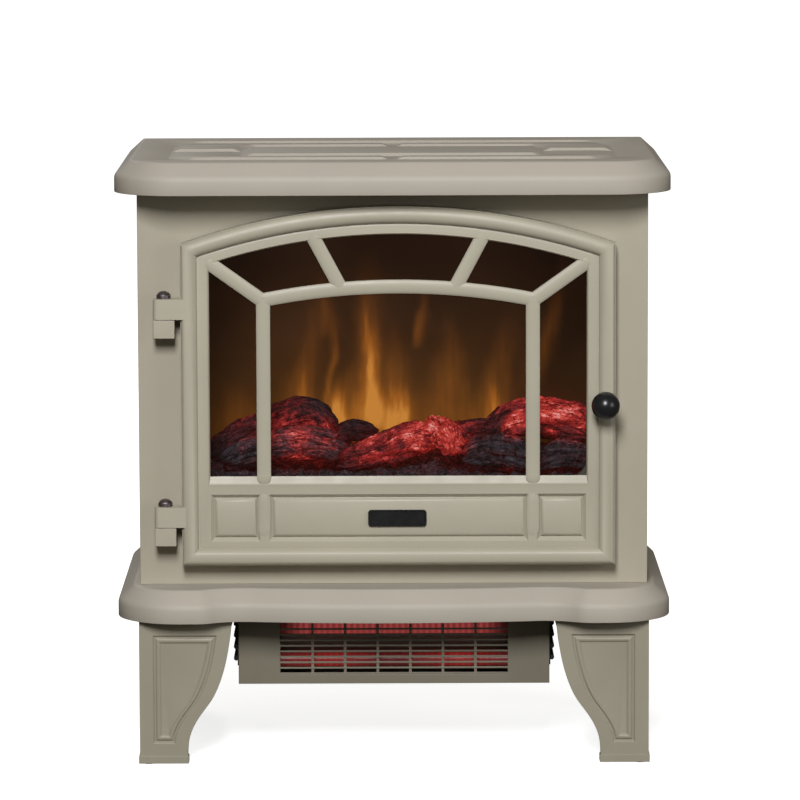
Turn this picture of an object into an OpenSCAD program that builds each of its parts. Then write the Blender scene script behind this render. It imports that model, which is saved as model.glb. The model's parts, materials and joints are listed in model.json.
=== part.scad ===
// Free-standing electric fireplace in the style of a small stove: a sheet steel cabinet on four
// bracket legs, an arched glazed door, a lit log set with a flicker rod, and a quartz heater box
// with its blower slung under the base. +X is right, -Y is the front, +Z is up, and the origin is
// the centre of the footprint on the floor.

/* [Overall] */
// Width over the top and the base
total_w = 520; // [516:1:530]
// Depth over the top and the base
total_d = 320; // [316:1:326]
// Height of the legs
leg_h = 136.5; // [130:0.5:145]
// Height of the cabinet between the base and the top
cabinet_h = 370.5; // [369:0.5:380]

/* [Top and base] */
// Thickness of the top and of the base at their edge
slab_h = 30; // [28:1:34]
// Height of the vertical face under the bevel
slab_face_h = 16.5; // [15:0.5:18]
// Width of the bevel seen from above
slab_bevel = 15; // [12:0.5:16]
// Plan radius of the front corners
slab_corner_r = 60; // [50:1:64]
// Depth of the scoop on each side of the bowed front of the base
scoop_depth = 13; // [8:0.5:14]
// Rise of the bow between the two scoops of the base
bow_rise = 11; // [6:0.5:12]
// Depth of the grooves pressed into the top
groove_depth = 1.4; // [0.8:0.1:1.6]

/* [Cabinet] */
// Width over the side panels
cabinet_w = 477.2; // [470:0.2:480]
// Thickness of the sheet steel
sheet = 0.8; // [0.8:0.1:1.5]

/* [Door] */
// Width of the door
door_w = 405.5; // [400:0.5:410]
// Height of the door at its sides
door_side_h = 302.2; // [298:0.2:305]
// Rise of the arch above the sides
door_rise = 35; // [30:1:40]
// Sideways shift of the door that leaves room for the hinges
door_x = 4.75; // [4:0.25:6]
// Width of the arch and stile moulding
bead_w = 17; // [14:0.5:18]
// Width of the window
window_w = 351.9; // [346:0.1:354]
// Height of the solid rail below the window
rail_h = 84.2; // [80:0.2:88]
// Width of the bars across the window
bar_w = 13.3; // [10:0.1:15]

/* [Knob] */
// Diameter of the ball of the door knob
knob_d = 26.6; // [24:0.2:30]

/* [Legs] */
// Width of a leg at the top
leg_top_w = 87; // [82:1:90]
// Width of a leg at the foot
leg_foot_w = 45; // [40:1:50]
// Thickness of a leg's two wings
leg_t = 15; // [12:1:18]

/* [Heater] */
// Width of the heater box under the base
heater_w = 294; // [280:2:300]
// Height of the heater box
heater_h = 67.5; // [62:0.5:68]
// Number of horizontal slats in the grille
slat_count = 9; // [7:1:9]
// Radius of a quartz tube
tube_r = 6.5; // [5:0.5:7]

/* [Hidden] */
$fn = 64;

gap = 0.4;             // space kept between pieces that move past each other
run = 0.05;            // radial clearance of a shaft that turns in a bore
arc_fn = 360;          // resolution of the wide arches

base_z = leg_h;
deck_z = base_z + slab_h;
crown_z = deck_z + cabinet_h;
total_h = crown_z + slab_h;
half_w = total_w / 2;
front_y = -total_d / 2;
rear_y = total_d / 2;
face_y = front_y + 50;         // front face of the cabinet
back_y = rear_y - 10;          // rear face of the cabinet
half_cab = cabinet_w / 2;
paint = [0.66, 0.62, 0.55];
steel = [0.72, 0.72, 0.74];
black = [0.07, 0.07, 0.07];
char = [0.16, 0.15, 0.16];

// --- Helpers -------------------------------------------------------------------------------

// Extrudes an (x, z) outline from y0 to y1
module along_y(y0, y1) {
    translate([0, y1, 0]) rotate([90, 0, 0]) linear_extrude(y1 - y0) children();
}

// Extrudes a (y, z) outline from x0 to x1
module along_x(x0, x1) {
    translate([x0, 0, 0]) rotate([90, 0, 90]) linear_extrude(x1 - x0) children();
}

// Rod along X, Y or Z from one end to the other, centred on the point (a, b) across it
module rod_x(r, x0, x1, y, z) {
    translate([x0, y, z]) rotate([0, 90, 0]) cylinder(r = r, h = x1 - x0);
}
module rod_y(r, y0, y1, x, z) {
    translate([x, y1, z]) rotate([90, 0, 0]) cylinder(r = r, h = y1 - y0);
}
module rod_z(r, z0, z1, x, y) {
    translate([x, y, z0]) cylinder(r = r, h = z1 - z0);
}

// Box between two corners
module block(low, high) {
    translate(low) cube(high - low);
}

// Rectangle with rounded corners
module round_rect(w, h, r) {
    union() {
        square([w - 2 * r, h], center = true);
        square([w, h - 2 * r], center = true);
        for (sx = [-1, 1], sy = [-1, 1])
            translate([sx * (w / 2 - r), sy * (h / 2 - r)]) circle(r);
    }
}

// Points of an arc, with both ends included
function arc(cx, cy, r, a0, a1, n) =
    [for (i = [0:n]) let (a = a0 + (a1 - a0) * i / n) [cx + r * cos(a), cy + r * sin(a)]];

// Points of a cubic curve, without its first point
function curve(p0, p1, p2, p3, n) =
    [for (i = [1:n]) let (t = i / n, s = 1 - t)
        s * s * s * p0 + 3 * s * s * t * p1 + 3 * s * t * t * p2 + t * t * t * p3];

// Closed solid through rings of equally many points, the lowest ring first
module loft(rings, heights) {
    n = len(rings[0]);
    last = len(rings) - 1;
    points = [for (k = [0:last]) for (p = rings[k]) [p[0], p[1], heights[k]]];
    sides = [for (k = [0:last - 1]) for (i = [0:n - 1]) let (j = (i + 1) % n)
        each [[k * n + i, (k + 1) * n + i, (k + 1) * n + j],
              [k * n + i, (k + 1) * n + j, k * n + j]]];
    floor_face = [for (i = [0:n - 1]) i];
    roof_face = [for (i = [0:n - 1]) last * n + n - 1 - i];
    polyhedron(points, concat([floor_face, roof_face], sides), convexity = 4);
}

// --- Plan outlines of the top and the base ---------------------------------------------------

corner_cx = half_w - slab_corner_r;
corner_cy = front_y + slab_corner_r;

// Straight front with rounded corners. Here and below, i moves the front and the sides inwards
// and back moves the rear edge forwards.
function top_outline(i, back = 0) = concat(
    [[-half_w + i, rear_y - back]],
    arc(-corner_cx, corner_cy, slab_corner_r - i, 180, 270, 10),
    arc(corner_cx, corner_cy, slab_corner_r - i, 270, 360, 10),
    [[half_w - i, rear_y - back]]);

// Half of the base's front, from the rounded corner to the middle: a flat, a bend in, a scoop
// and the bow. Each bend is an arc that meets the next one smoothly.
scoop_x = 141;                  // distance of the deepest point of the scoop from the middle
shoulder_x = 186;               // where the flat front of the corner ends
bend_r = 30;                    // radius of the bend in
bend_a = 2 * atan(scoop_depth / (shoulder_x - scoop_x));
scoop_r = (shoulder_x - scoop_x) / sin(bend_a) - bend_r;
bow_a = 2 * atan(bow_rise / scoop_x);
bow_r = scoop_x / sin(bow_a) - scoop_r;
scoop_cy = front_y + scoop_depth - scoop_r;
bow_cy = front_y + scoop_depth - bow_rise + bow_r;
function half_front(i, back) = concat(
    arc(0, bow_cy, bow_r - i, 270, 270 + bow_a, 6),
    arc(scoop_x, scoop_cy, scoop_r + i, 90 + bow_a, 90 - bend_a, 8),
    arc(shoulder_x, front_y + bend_r, bend_r - i, 270 - bend_a, 270, 5),
    arc(corner_cx, corner_cy, slab_corner_r - i, 270, 360, 10),
    [[half_w - i, rear_y - back]]);
function mirrored(points) = [for (k = [len(points) - 1:-1:1]) [-points[k][0], points[k][1]]];
function base_outline(i, back = 0) = concat(mirrored(half_front(i, back)), half_front(i, back));

skirt = 1.2;            // thickness of the folded edge of the two slabs
deck_t = 1.2;           // thickness of their flat tops
fold_t = 1.5;           // sheet folded back under the top, which rests on the cabinet
fold_in = 14;           // how far that fold reaches past the cabinet's walls

// --- Cabinet ---------------------------------------------------------------------------------

// Centre and sizes of the two pressed rings on the top
ring_y = 10;
ring_w = 16;            // width of the grooves that run from front to back
ring_extra = 14;        // the grooves that run across are wider by this, towards the front
link_w = 20;
outer_ring = [438, 222];
inner_ring = [304, 128];

module pressed_ring(size, r_out, r_in, grow) {
    edge = ring_w + grow;
    difference() {
        round_rect(size[0] + 2 * grow, size[1] + ring_extra + 2 * grow, r_out + grow);
        round_rect(size[0] - 2 * edge, size[1] - ring_extra - 2 * edge, r_in - grow);
    }
}

module pressed_pattern(grow) {
    gap_x = (outer_ring[0] - inner_ring[0]) / 2 - ring_w;
    gap_y = (outer_ring[1] - inner_ring[1]) / 2 - ring_w - ring_extra;
    translate([0, ring_y - ring_extra / 2]) {
        pressed_ring(outer_ring, 40, 24, grow);
        pressed_ring(inner_ring, 20, 5, grow);
        for (s = [-1, 1]) {
            translate([0, s * (inner_ring[1] + ring_extra + gap_y) / 2])
                square([link_w + 2 * grow, gap_y + 2], center = true);
            translate([s * (inner_ring[0] + gap_x) / 2, 0])
                square([gap_x + 2, link_w + ring_extra + 2 * grow], center = true);
        }
    }
}

// Pressed sheet: its underside follows the grooves in its top
module top_slab() {
    color(paint) difference() {
        loft([top_outline(0), top_outline(0), top_outline(slab_bevel)],
             [crown_z, crown_z + slab_face_h, total_h]);
        difference() {
            loft([for (i = [skirt, skirt, slab_bevel + 1]) top_outline(i, skirt)],
                 [crown_z + fold_t, crown_z + slab_face_h - 1, total_h - deck_t]);
            translate([0, 0, total_h - groove_depth - deck_t])
                linear_extrude(5) pressed_pattern(deck_t);
        }
        block([-half_cab + fold_in, panel_y0 + fold_in, crown_z - 1],
              [half_cab - fold_in, back_y - fold_in, crown_z + fold_t + 1]);
        translate([0, 0, total_h - groove_depth]) linear_extrude(5) pressed_pattern(0);
    }
}

flange = 12;                    // width of the folds at the edges of the sheet panels
panel_y0 = face_y + 1.6;        // the side panels start behind the front frame

module side_panel(s) {
    outer = half_cab;
    color(paint) {
        block([min(s * (outer - sheet), s * outer), panel_y0, deck_z],
              [max(s * (outer - sheet), s * outer), back_y, crown_z]);
        for (y = [panel_y0, back_y - 2 * sheet])
            block([min(s * (outer - flange), s * (outer - sheet)), y, deck_z + 2],
                  [max(s * (outer - flange), s * (outer - sheet)), y + sheet, crown_z - 2]);
        block([min(s * (outer - flange), s * (outer - sheet)), panel_y0 + sheet, deck_z],
              [max(s * (outer - flange), s * (outer - sheet)), back_y - 2 * sheet, deck_z + sheet]);
    }
}
module left_side_panel() { side_panel(-1); }
module right_side_panel() { side_panel(1); }

// Opening for the fire and opening for the controls in the front frame
fire_w = 362;
fire_z0 = deck_z + 100.5;
fire_corner_r = 16;
controls_w = 216;
controls_z0 = deck_z + 32;
controls_z1 = deck_z + 80;
magnet_x = 198;
magnet_z = deck_z + 210;

// Arched opening with rounded lower corners, a little larger than the window of the door
module fire_opening(grow) {
    tall = door_top - fire_z0;
    intersection() {
        translate([0, fire_z0 + tall / 2])
            round_rect(fire_w + 2 * grow, tall + 2 * grow, fire_corner_r + grow);
        translate([0, door_top - door_r])
            circle(r = door_r - window_inset + 4 + grow, $fn = arc_fn);
    }
}

module front_frame() {
    color(paint) difference() {
        union() {
            along_y(face_y, panel_y0)
                translate([-half_cab, deck_z]) square([cabinet_w, cabinet_h]);
            along_y(panel_y0, panel_y0 + 8) fire_opening(sheet);
        }
        along_y(face_y - 1, panel_y0 + 9) fire_opening(0);
        along_y(face_y - 1, panel_y0 + 1)
            translate([0, (controls_z0 + controls_z1) / 2])
                round_rect(controls_w, controls_z1 - controls_z0, 5);
        block([magnet_x - 5.1, face_y - 1, magnet_z - 20],
              [magnet_x + 5.1, panel_y0 + 1, magnet_z + 20]);
    }
}

rear_screw_r = 2;
rear_screws = [for (sx = [-1, 1]) for (z = [deck_z + 20, (deck_z + crown_z) / 2, crown_z - 20])
    [sx * (half_cab - 9), z]];
gland_x = 185;
gland_z = deck_z + 34;
gland_r = 8;

module rear_cover() {
    louvre = [70, 5];
    color([0.30, 0.30, 0.30]) difference() {
        along_y(back_y - sheet, back_y)
            translate([-half_cab + sheet + 0.5, deck_z + 1]) square([cabinet_w - 2 * sheet - 1,
                                                                    cabinet_h - 2]);
        for (sx = [-1, 1], k = [0:7])
            along_y(back_y - sheet - 1, back_y + 1)
                translate([sx * 105, crown_z - 60 - 12 * k]) square(louvre, center = true);
        for (k = [0:4])
            along_y(back_y - sheet - 1, back_y + 1)
                translate([0, deck_z + 30 + 12 * k]) square(louvre, center = true);
        for (p = rear_screws) rod_y(rear_screw_r + 0.1, back_y - 5, back_y + 1, p[0], p[1]);
        rod_y(gland_r + 0.1, back_y - 5, back_y + 1, gland_x, gland_z);
    }
}

module rear_cover_screws() {
    color(steel) for (p = rear_screws) {
        rod_y(rear_screw_r, back_y - sheet, back_y + 1, p[0], p[1]);
        rod_y(3.8, back_y, back_y + 2.2, p[0], p[1]);
    }
}

wire_hole_r = 12;
wire_hole = [120, 60];

module base_slab() {
    color(paint) difference() {
        loft([base_outline(0), base_outline(0), base_outline(slab_bevel)],
             [base_z, base_z + slab_face_h, deck_z]);
        loft([for (i = [skirt, skirt, slab_bevel + 1]) base_outline(i, skirt)],
             [base_z - 1, base_z + slab_face_h - 1, deck_z - deck_t]);
        rod_z(wire_hole_r, deck_z - 5, deck_z + 1, wire_hole[0], wire_hole[1]);
    }
}

module base_plate() {
    color(black) difference() {
        translate([0, 0, base_z]) linear_extrude(1)
            polygon(base_outline(skirt + 0.2, skirt + 0.2));
        rod_z(wire_hole_r, base_z - 1, base_z + 3, wire_hole[0], wire_hole[1]);
    }
}

// --- Legs ------------------------------------------------------------------------------------

foot_band_h = 8;
knee = [65, 57];                // where the curve of the leg changes from convex to hollow
leg_x = 239;                    // outer corner of the legs
leg_y = 140;
glide_r = 6;
glide_proud = 1;                // the glides carry the legs this far off the floor
leg_screw_r = 2.5;
leg_screws_at = [[30, 68], [68, 30]];

// Inner edge of the leg as distances from its outer edge, from the foot up
function leg_edge(d) = concat([[leg_foot_w - d, 10]],
    curve([leg_foot_w - d, 10], [leg_foot_w + 0.5 - d, 32], [54 - d, 42.5], knee - [d, 0], 8),
    curve(knee - [d, 0], [76 - d, 71.5], [leg_top_w - 2.5 - d, 100], [leg_top_w - d, base_z], 10));

module wing_outline() {
    polygon(concat([[0, glide_proud], [leg_foot_w, glide_proud]], leg_edge(0), [[0, base_z]]));
}

// Sunk panel that follows the outline of the wing
module wing_panel() {
    border = 13;
    intersection() {
        polygon(concat([[border, 10]], leg_edge(border), [[border, base_z]]));
        translate([0, 20]) square([leg_top_w, base_z - 34]);
    }
}

// The sunk panel and the line over the foot band, cut from the face of a wing
module wing_cuts() {
    along_y(-2, 2) wing_panel();
    block([-1, -1, foot_band_h], [leg_foot_w + 5, 0.8, foot_band_h + 1.4]);
}

// Leg with its outer corner at the origin, its wings along +X and +Y
module leg_body() {
    difference() {
        union() {
            along_y(0, leg_t) wing_outline();
            mirror([1, -1, 0]) along_y(0, leg_t) wing_outline();
            translate([0, 0, base_z - 4]) linear_extrude(4)
                polygon([[1, 1], [leg_top_w - 1, 1], [leg_top_w - 1, leg_t], [leg_t, leg_top_w - 1],
                         [1, leg_top_w - 1]]);
            block([-1, -1, glide_proud], [leg_foot_w + 1, 2, foot_band_h]);
            block([-1, -1, glide_proud], [2, leg_foot_w + 1, foot_band_h]);
        }
        wing_cuts();
        mirror([1, -1, 0]) wing_cuts();
        rod_z(glide_r, -1, 4, 8, 8);
        for (p = leg_screws_at) rod_z(leg_screw_r + 0.1, base_z - 6, base_z + 1, p[0], p[1]);
    }
}

module leg(sx, sy) {
    color(paint) translate([sx * leg_x, sy * leg_y, 0]) scale([-sx, -sy, 1]) leg_body();
}
module leg_front_left() { leg(-1, -1); }
module leg_front_right() { leg(1, -1); }
module leg_rear_left() { leg(-1, 1); }
module leg_rear_right() { leg(1, 1); }

module leg_screws() {
    color(steel) for (sx = [-1, 1], sy = [-1, 1], p = leg_screws_at) {
        x = sx * (leg_x - p[0]);
        y = sy * (leg_y - p[1]);
        rod_z(leg_screw_r, base_z - 4, base_z, x, y);
        rod_z(4.5, base_z - 6.5, base_z - 4, x, y);
    }
}

module floor_glides() {
    color(black) for (sx = [-1, 1], sy = [-1, 1])
        rod_z(glide_r - 0.1, 0, 4, sx * (leg_x - 8), sy * (leg_y - 8));
}

// --- Hinges ----------------------------------------------------------------------------------

hinge_x = -213.7;
hinge_y = face_y - 12.5;
hinge_pin_r = 4;
arm_reach = 9.7;                // half width of the arm's knuckle
upper_arm_z = deck_z + 253;     // underside of the upper arm
lower_arm_z = deck_z + 57.3;
arm_h = 19;
bracket_h = 17.5;
arm_x1 = -187.9;                // the arm ends here, over the door's stile
door_front_y = face_y - 25;     // frontmost face of the door's moulding
arm_front_y = door_front_y + 1;

module hinge_bracket(z1) {
    color(paint) difference() {
        block([hinge_x - arm_reach, hinge_y - 10.5, z1 - bracket_h], [hinge_x + 10.4, face_y, z1]);
        rod_z(hinge_pin_r, z1 - bracket_h - 1, z1 + 1, hinge_x, hinge_y);
    }
}
module upper_hinge_bracket() { hinge_bracket(upper_arm_z - gap); }
module lower_hinge_bracket() { hinge_bracket(lower_arm_z - gap); }

module hinge_pin(z0) {
    head_r = 6.7;
    color(black) {
        rod_z(hinge_pin_r, z0 - bracket_h, z0 + arm_h + gap, hinge_x, hinge_y);
        translate([hinge_x, hinge_y, z0 + arm_h + gap]) {
            cylinder(r = head_r, h = 2.5);
            translate([0, 0, 2.5]) intersection() {
                translate([0, 0, -3.2]) sphere(r = 7.4);
                cylinder(r = head_r, h = 6);
            }
        }
    }
}
module upper_hinge_pin() { hinge_pin(upper_arm_z); }
module lower_hinge_pin() { hinge_pin(lower_arm_z); }

module arm_plan(grow) {
    translate([hinge_x, hinge_y]) circle(r = arm_reach + grow);
    translate([hinge_x, arm_front_y - grow])
        square([arm_x1 - hinge_x + grow, hinge_y + 6 - arm_front_y + 2 * grow]);
    translate([hinge_x - arm_reach + 4 - grow, arm_front_y - grow])
        square([arm_reach, hinge_y - arm_front_y]);
    translate([hinge_x - arm_reach + 4, arm_front_y + 4]) circle(r = 4 + grow);
    translate([hinge_x - arm_reach - grow, arm_front_y + 4])
        square([arm_reach, hinge_y - arm_front_y - 4]);
}

module hinge_arm(z0) {
    color(paint) difference() {
        translate([0, 0, z0]) linear_extrude(arm_h) arm_plan(0);
        rod_z(hinge_pin_r + run, z0 - 1, z0 + arm_h + 1, hinge_x, hinge_y);
    }
}
module upper_hinge_arm() { hinge_arm(upper_arm_z); }
module lower_hinge_arm() { hinge_arm(lower_arm_z); }

// --- Door ------------------------------------------------------------------------------------

door_z = deck_z + 20.5;
door_top = door_z + door_side_h + door_rise;
door_r = (pow(door_w / 2, 2) + pow(door_rise, 2)) / (2 * door_rise);
window_inset = 26.1;            // the window's arch is concentric with the door's
window_z = door_z + rail_h;
door_back_y = face_y - 2;
skin_y0 = door_front_y + 6;     // flat of the door between its mouldings
skin_y1 = skin_y0 + 2.5;
glass_t = 4;
edge_t = 2;                     // thickness of the wall around the door's edge

module arched(w, z0, r, i) {
    translate([door_x, 0]) intersection() {
        translate([-w / 2 + i, z0 + i]) square([w - 2 * i, door_top]);
        translate([0, door_top - door_r]) circle(r = r - i, $fn = arc_fn);
    }
}
module door_outline(i) { arched(door_w, door_z, door_r, i); }
module window_outline(i) { arched(window_w, window_z, door_r - window_inset, i); }

// Sunk fields of the lower rail: left edge, right edge
rail_panels = [[-167.8, -127.6], [-113.7, 123.2], [137.1, 177.3]];
panel_z0 = door_z + 26.5;
panel_z1 = door_z + 63.9;
field_depth = 1.4;
knob_x = 197.5;
knob_z = door_z + 152.5;
boss_r = 5.4;

module door_frame() {
    color(paint) difference() {
        union() {
            along_y(skin_y0, skin_y1) difference() {
                door_outline(0);
                window_outline(0);
            }
            along_y(skin_y1, door_back_y) difference() {
                door_outline(0);
                door_outline(edge_t);
            }
            along_y(skin_y0 - 3, skin_y0) difference() {
                door_outline(1);
                door_outline(bead_w);
            }
            along_y(door_front_y, skin_y0 - 3) difference() {
                door_outline(4);
                door_outline(bead_w - 3);
            }
            along_y(skin_y0 - 2, skin_y0) difference() {
                window_outline(-8);
                window_outline(0);
            }
            for (k = [1:7]) along_y(skin_y1, door_back_y - 1)
                translate([door_x - door_w / 2 + k * door_w / 8 - 1, door_z + 1]) square([2, 70]);
            along_y(skin_y1, door_back_y - 1)
                translate([door_x - door_w / 2 + 1, door_z + 38]) square([door_w - 2, 2]);
            rod_y(boss_r, door_front_y, door_back_y, knob_x, knob_z);
            along_y(skin_y1 - 1, door_back_y)
                translate([magnet_x - 6.5, magnet_z - 18]) square([13, 36]);
        }
        for (p = rail_panels) along_y(skin_y0 - 1, skin_y0 + field_depth) difference() {
            translate([p[0] - 3, panel_z0 - 3]) square([p[1] - p[0] + 6, panel_z1 - panel_z0 + 6]);
            translate([p[0], panel_z0]) square([p[1] - p[0], panel_z1 - panel_z0]);
        }
        for (z = [upper_arm_z, lower_arm_z])
            translate([0, 0, z]) linear_extrude(arm_h) arm_plan(0);
        rod_y(2.1, door_front_y - 1, door_back_y + 1, knob_x, knob_z);
        rod_y(4.2, door_back_y - 3, door_back_y + 1, knob_x, knob_z);
        along_y(door_back_y - 1.6, door_back_y + 1)
            translate([magnet_x - 5, magnet_z - 15]) square([10, 30]);
    }
}

// Bars of the window: two uprights, a shallow inner arch, and four spokes to the moulding
upright_x = 125.75;
inner_arch_top = door_z + 268.9;
inner_arch_r = 656;
inner_arch_w = 13.2;
corner_top = [184, door_z + 291];
spoke_top = [80.4, door_z + 312];
spoke_foot = [53.6, door_z + 261.5];

module bar(from, to, w) {
    d = to - from;
    translate(from) rotate(atan2(d[1], d[0])) translate([0, -w / 2]) square([norm(d), w]);
}

module window_grid() {
    arch_c = inner_arch_top - inner_arch_r;
    arch_mid_z = arch_c + sqrt(pow(inner_arch_r - inner_arch_w / 2, 2) - pow(upright_x, 2));
    color(paint) along_y(skin_y0 - 1.5, skin_y1) intersection() {
        window_outline(0);
        translate([door_x, 0]) union() {
            for (s = [-1, 1]) {
                translate([s * upright_x - bar_w / 2, door_z])
                    square([bar_w, arch_mid_z + 4 - door_z]);
                bar([s * upright_x, arch_mid_z - 1], [s * corner_top[0], corner_top[1]], bar_w);
                bar([s * spoke_foot[0], spoke_foot[1]], [s * spoke_top[0], spoke_top[1]], bar_w);
            }
            intersection() {
                difference() {
                    translate([0, arch_c]) circle(r = inner_arch_r, $fn = arc_fn);
                    translate([0, arch_c]) circle(r = inner_arch_r - inner_arch_w, $fn = arc_fn);
                }
                translate([-upright_x, door_z]) square([2 * upright_x, door_side_h]);
            }
        }
    }
}

module door_glass() {
    color([0.12, 0.10, 0.09, 0.5]) along_y(skin_y1, skin_y1 + glass_t) window_outline(-9);
}

// Six Z-shaped clips that press the glass against the frame
clip_points = [[-1, 30], [-1, 110], [-1, 190], [1, 30], [1, 150], [1, 190]];
module glass_clips() {
    color(steel) for (p = clip_points) {
        x = door_x + p[0] * (window_w / 2 + 14);
        z = window_z + p[1];
        along_y(skin_y1 + glass_t, skin_y1 + glass_t + 1.2)
            translate([x - p[0] * 5, z]) square([14, 12], center = true);
        along_y(skin_y1, skin_y1 + glass_t + 1.2)
            translate([x + p[0] * 1, z]) square([2.4, 12], center = true);
    }
}

module badge_plate() {
    color(black) along_y(skin_y0 - 2.2, skin_y0)
        translate([3.5, (panel_z0 + panel_z1) / 2 - 0.4]) round_rect(54.7, 15.6, 3);
}

module door_knob() {
    ball_y = door_front_y - 15;
    color(black) difference() {
        union() {
            translate([knob_x, ball_y, knob_z]) sphere(d = knob_d);
            rod_y(boss_r, ball_y, door_front_y, knob_x, knob_z);
        }
        rod_y(2, door_front_y - 8, door_front_y + 1, knob_x, knob_z);
    }
}

// Screw of the knob and the plate that the magnet pulls on
module door_fittings() {
    color(steel) {
        rod_y(2, door_front_y - 8, door_back_y - 3, knob_x, knob_z);
        rod_y(4, door_back_y - 3, door_back_y - 0.5, knob_x, knob_z);
        along_y(door_back_y - 1.6, door_back_y)
            translate([magnet_x - 5, magnet_z - 15]) square([10, 30]);
    }
}

module door_magnet() {
    color(black) {
        along_y(face_y - 1.4, panel_y0)
            translate([magnet_x, magnet_z]) square([10, 39.8], center = true);
        along_y(panel_y0, panel_y0 + 10)
            translate([magnet_x, magnet_z]) square([15, 48], center = true);
    }
}

// --- Fire ------------------------------------------------------------------------------------

box_y0 = panel_y0 + 8;
box_y1 = 100;
box_w = 380;
box_z0 = deck_z + 88;
box_z1 = deck_z + 350;
box_t = 0.6;                    // thickness of the firebox's sheet
screen_y = 34;
bed_z = box_z0 + 8;
rod_pos = [66, box_z0 + 36];

module firebox_shell() {
    color([0.1, 0.1, 0.1]) difference() {
        block([-box_w / 2, box_y0, box_z0], [box_w / 2, box_y1, box_z1]);
        block([-box_w / 2 + box_t, box_y0 - 1, box_z0 + box_t],
              [box_w / 2 - box_t, box_y1 - box_t, box_z1 - box_t]);
    }
}

module flame_screen() {
    color([0.45, 0.20, 0.08, 0.8]) block([-box_w / 2 + box_t, screen_y, box_z0 + box_t],
                                         [box_w / 2 - box_t, screen_y + 3, box_z1 - box_t]);
}

module ember_bed() {
    color(char) difference() {
        block([-box_w / 2 + 2, box_y0 + 2, box_z0 + box_t], [box_w / 2 - 2, screen_y - 1, bed_z]);
        block([-box_w / 2 + 4, box_y0 + 4, box_z0], [box_w / 2 - 4, screen_y - 3, bed_z - 2]);
    }
}

// A log: a bar with chamfered ends between two points
module log_shape(from, to, r) {
    d = to - from;
    long = norm(d);
    color(char) translate(from)
        rotate([0, acos(d[2] / long), atan2(d[1], d[0])]) {
            cylinder(r = r, h = long);
            translate([0, 0, -4]) cylinder(r1 = r - 5, r2 = r, h = 4);
            translate([0, 0, long]) cylinder(r1 = r, r2 = r - 5, h = 4);
        }
}
module log_left() { log_shape([-168, -22, bed_z + 38], [-72, -10, bed_z + 42], 22); }
module log_centre() { log_shape([-48, -46, bed_z + 23], [58, -38, bed_z + 24], 19); }
module log_right() { log_shape([84, -14, bed_z + 40], [170, -26, bed_z + 34], 22); }
module log_split() { log_shape([-40, 4, bed_z + 27], [-8, 6, bed_z + 29], 12); }

module ember_lamp_board() {
    board_z = box_z0 + box_t;
    color([0.1, 0.35, 0.15]) block([-150, -60, board_z], [150, -20, board_z + 1.6]);
    color([1, 0.5, 0.2]) for (k = [-3:3])
        block([k * 45 - 2.5, -42.5, board_z + 1.6], [k * 45 + 2.5, -37.5, board_z + 3.2]);
}

module flame_lamp_board() {
    board_z = box_z0 + box_t;
    color([0.1, 0.35, 0.15]) block([-150, 42, board_z], [150, 43.6, board_z + 16]);
    color([1, 0.6, 0.2]) for (k = [-3:3])
        block([k * 45 - 2.5, 43.6, board_z + 6], [k * 45 + 2.5, 45.2, board_z + 11]);
}

rod_r = 2.5;
motor_x = -box_w / 2 + box_t;
module flicker_motor() {
    color(steel) difference() {
        union() {
            rod_x(17, motor_x, motor_x + 20, rod_pos[0], rod_pos[1]);
            rod_x(5, motor_x + 20, motor_x + 26, rod_pos[0], rod_pos[1]);
        }
        rod_x(rod_r + run, motor_x + 14, motor_x + 27, rod_pos[0], rod_pos[1]);
    }
}

bushing_x = box_w / 2 - box_t;
module flicker_bushing() {
    color(black) difference() {
        union() {
            rod_x(7, bushing_x - 8, bushing_x, rod_pos[0], rod_pos[1]);
            block([bushing_x - 2, rod_pos[0] - 12, rod_pos[1] - 12],
                  [bushing_x, rod_pos[0] + 12, rod_pos[1] + 12]);
        }
        rod_x(rod_r + run, bushing_x - 9, bushing_x - 2, rod_pos[0], rod_pos[1]);
    }
}

module flicker_rod() {
    color(steel) rod_x(rod_r, motor_x + 15, bushing_x - 3, rod_pos[0], rod_pos[1]);
}

// Bent reflective strips on the rod, each turned on from the last
module flicker_foils() {
    count = 12;
    pitch = 25;
    color([0.85, 0.8, 0.7]) for (k = [0:count - 1])
        translate([(k - (count - 1) / 2) * pitch, rod_pos[0], rod_pos[1]]) rotate([k * 50, 0, 0])
            difference() {
                union() {
                    rod_x(4, -4, 4, 0, 0);
                    block([-9, -16, -0.5], [9, 16, 0.5]);
                }
                rod_x(rod_r + 0.02, -10, 10, 0, 0);
            }
}

// --- Controls --------------------------------------------------------------------------------

panel_y = face_y + 12;          // front face of the sunk control panel
control_z = (controls_z0 + controls_z1) / 2;
rocker_x = [-84, -50];
dial_x = [14, 66];
rocker_axis_y = panel_y + 1;
rocker_half = 8;
dial_shaft_r = 3;

module control_panel() {
    color(black) difference() {
        union() {
            along_y(panel_y, panel_y + 2) translate([0, control_z])
                round_rect(controls_w + 8, controls_z1 - controls_z0 + 8, 5);
            along_y(panel_y0, panel_y) translate([0, control_z]) difference() {
                round_rect(controls_w + 8, controls_z1 - controls_z0 + 8, 5);
                round_rect(controls_w, controls_z1 - controls_z0, 4);
            }
        }
        for (x = rocker_x) along_y(panel_y - 1, panel_y + 3)
            translate([x, control_z]) square([16, 24], center = true);
        for (x = dial_x) rod_y(4.6, panel_y - 1, panel_y + 3, x, control_z);
    }
}

module switch_bezels() {
    color(black) for (x = rocker_x) difference() {
        union() {
            along_y(panel_y - 1.5, panel_y) translate([x, control_z]) square([20, 28], center = true);
            along_y(panel_y, panel_y + 16) translate([x, control_z]) square([15.8, 23.8], center = true);
        }
        along_y(panel_y - 2, panel_y + 12) translate([x, control_z]) square([12, 20], center = true);
        rod_x(1.2 + run, x - 7, x + 7, rocker_axis_y, control_z);
    }
}

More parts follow.
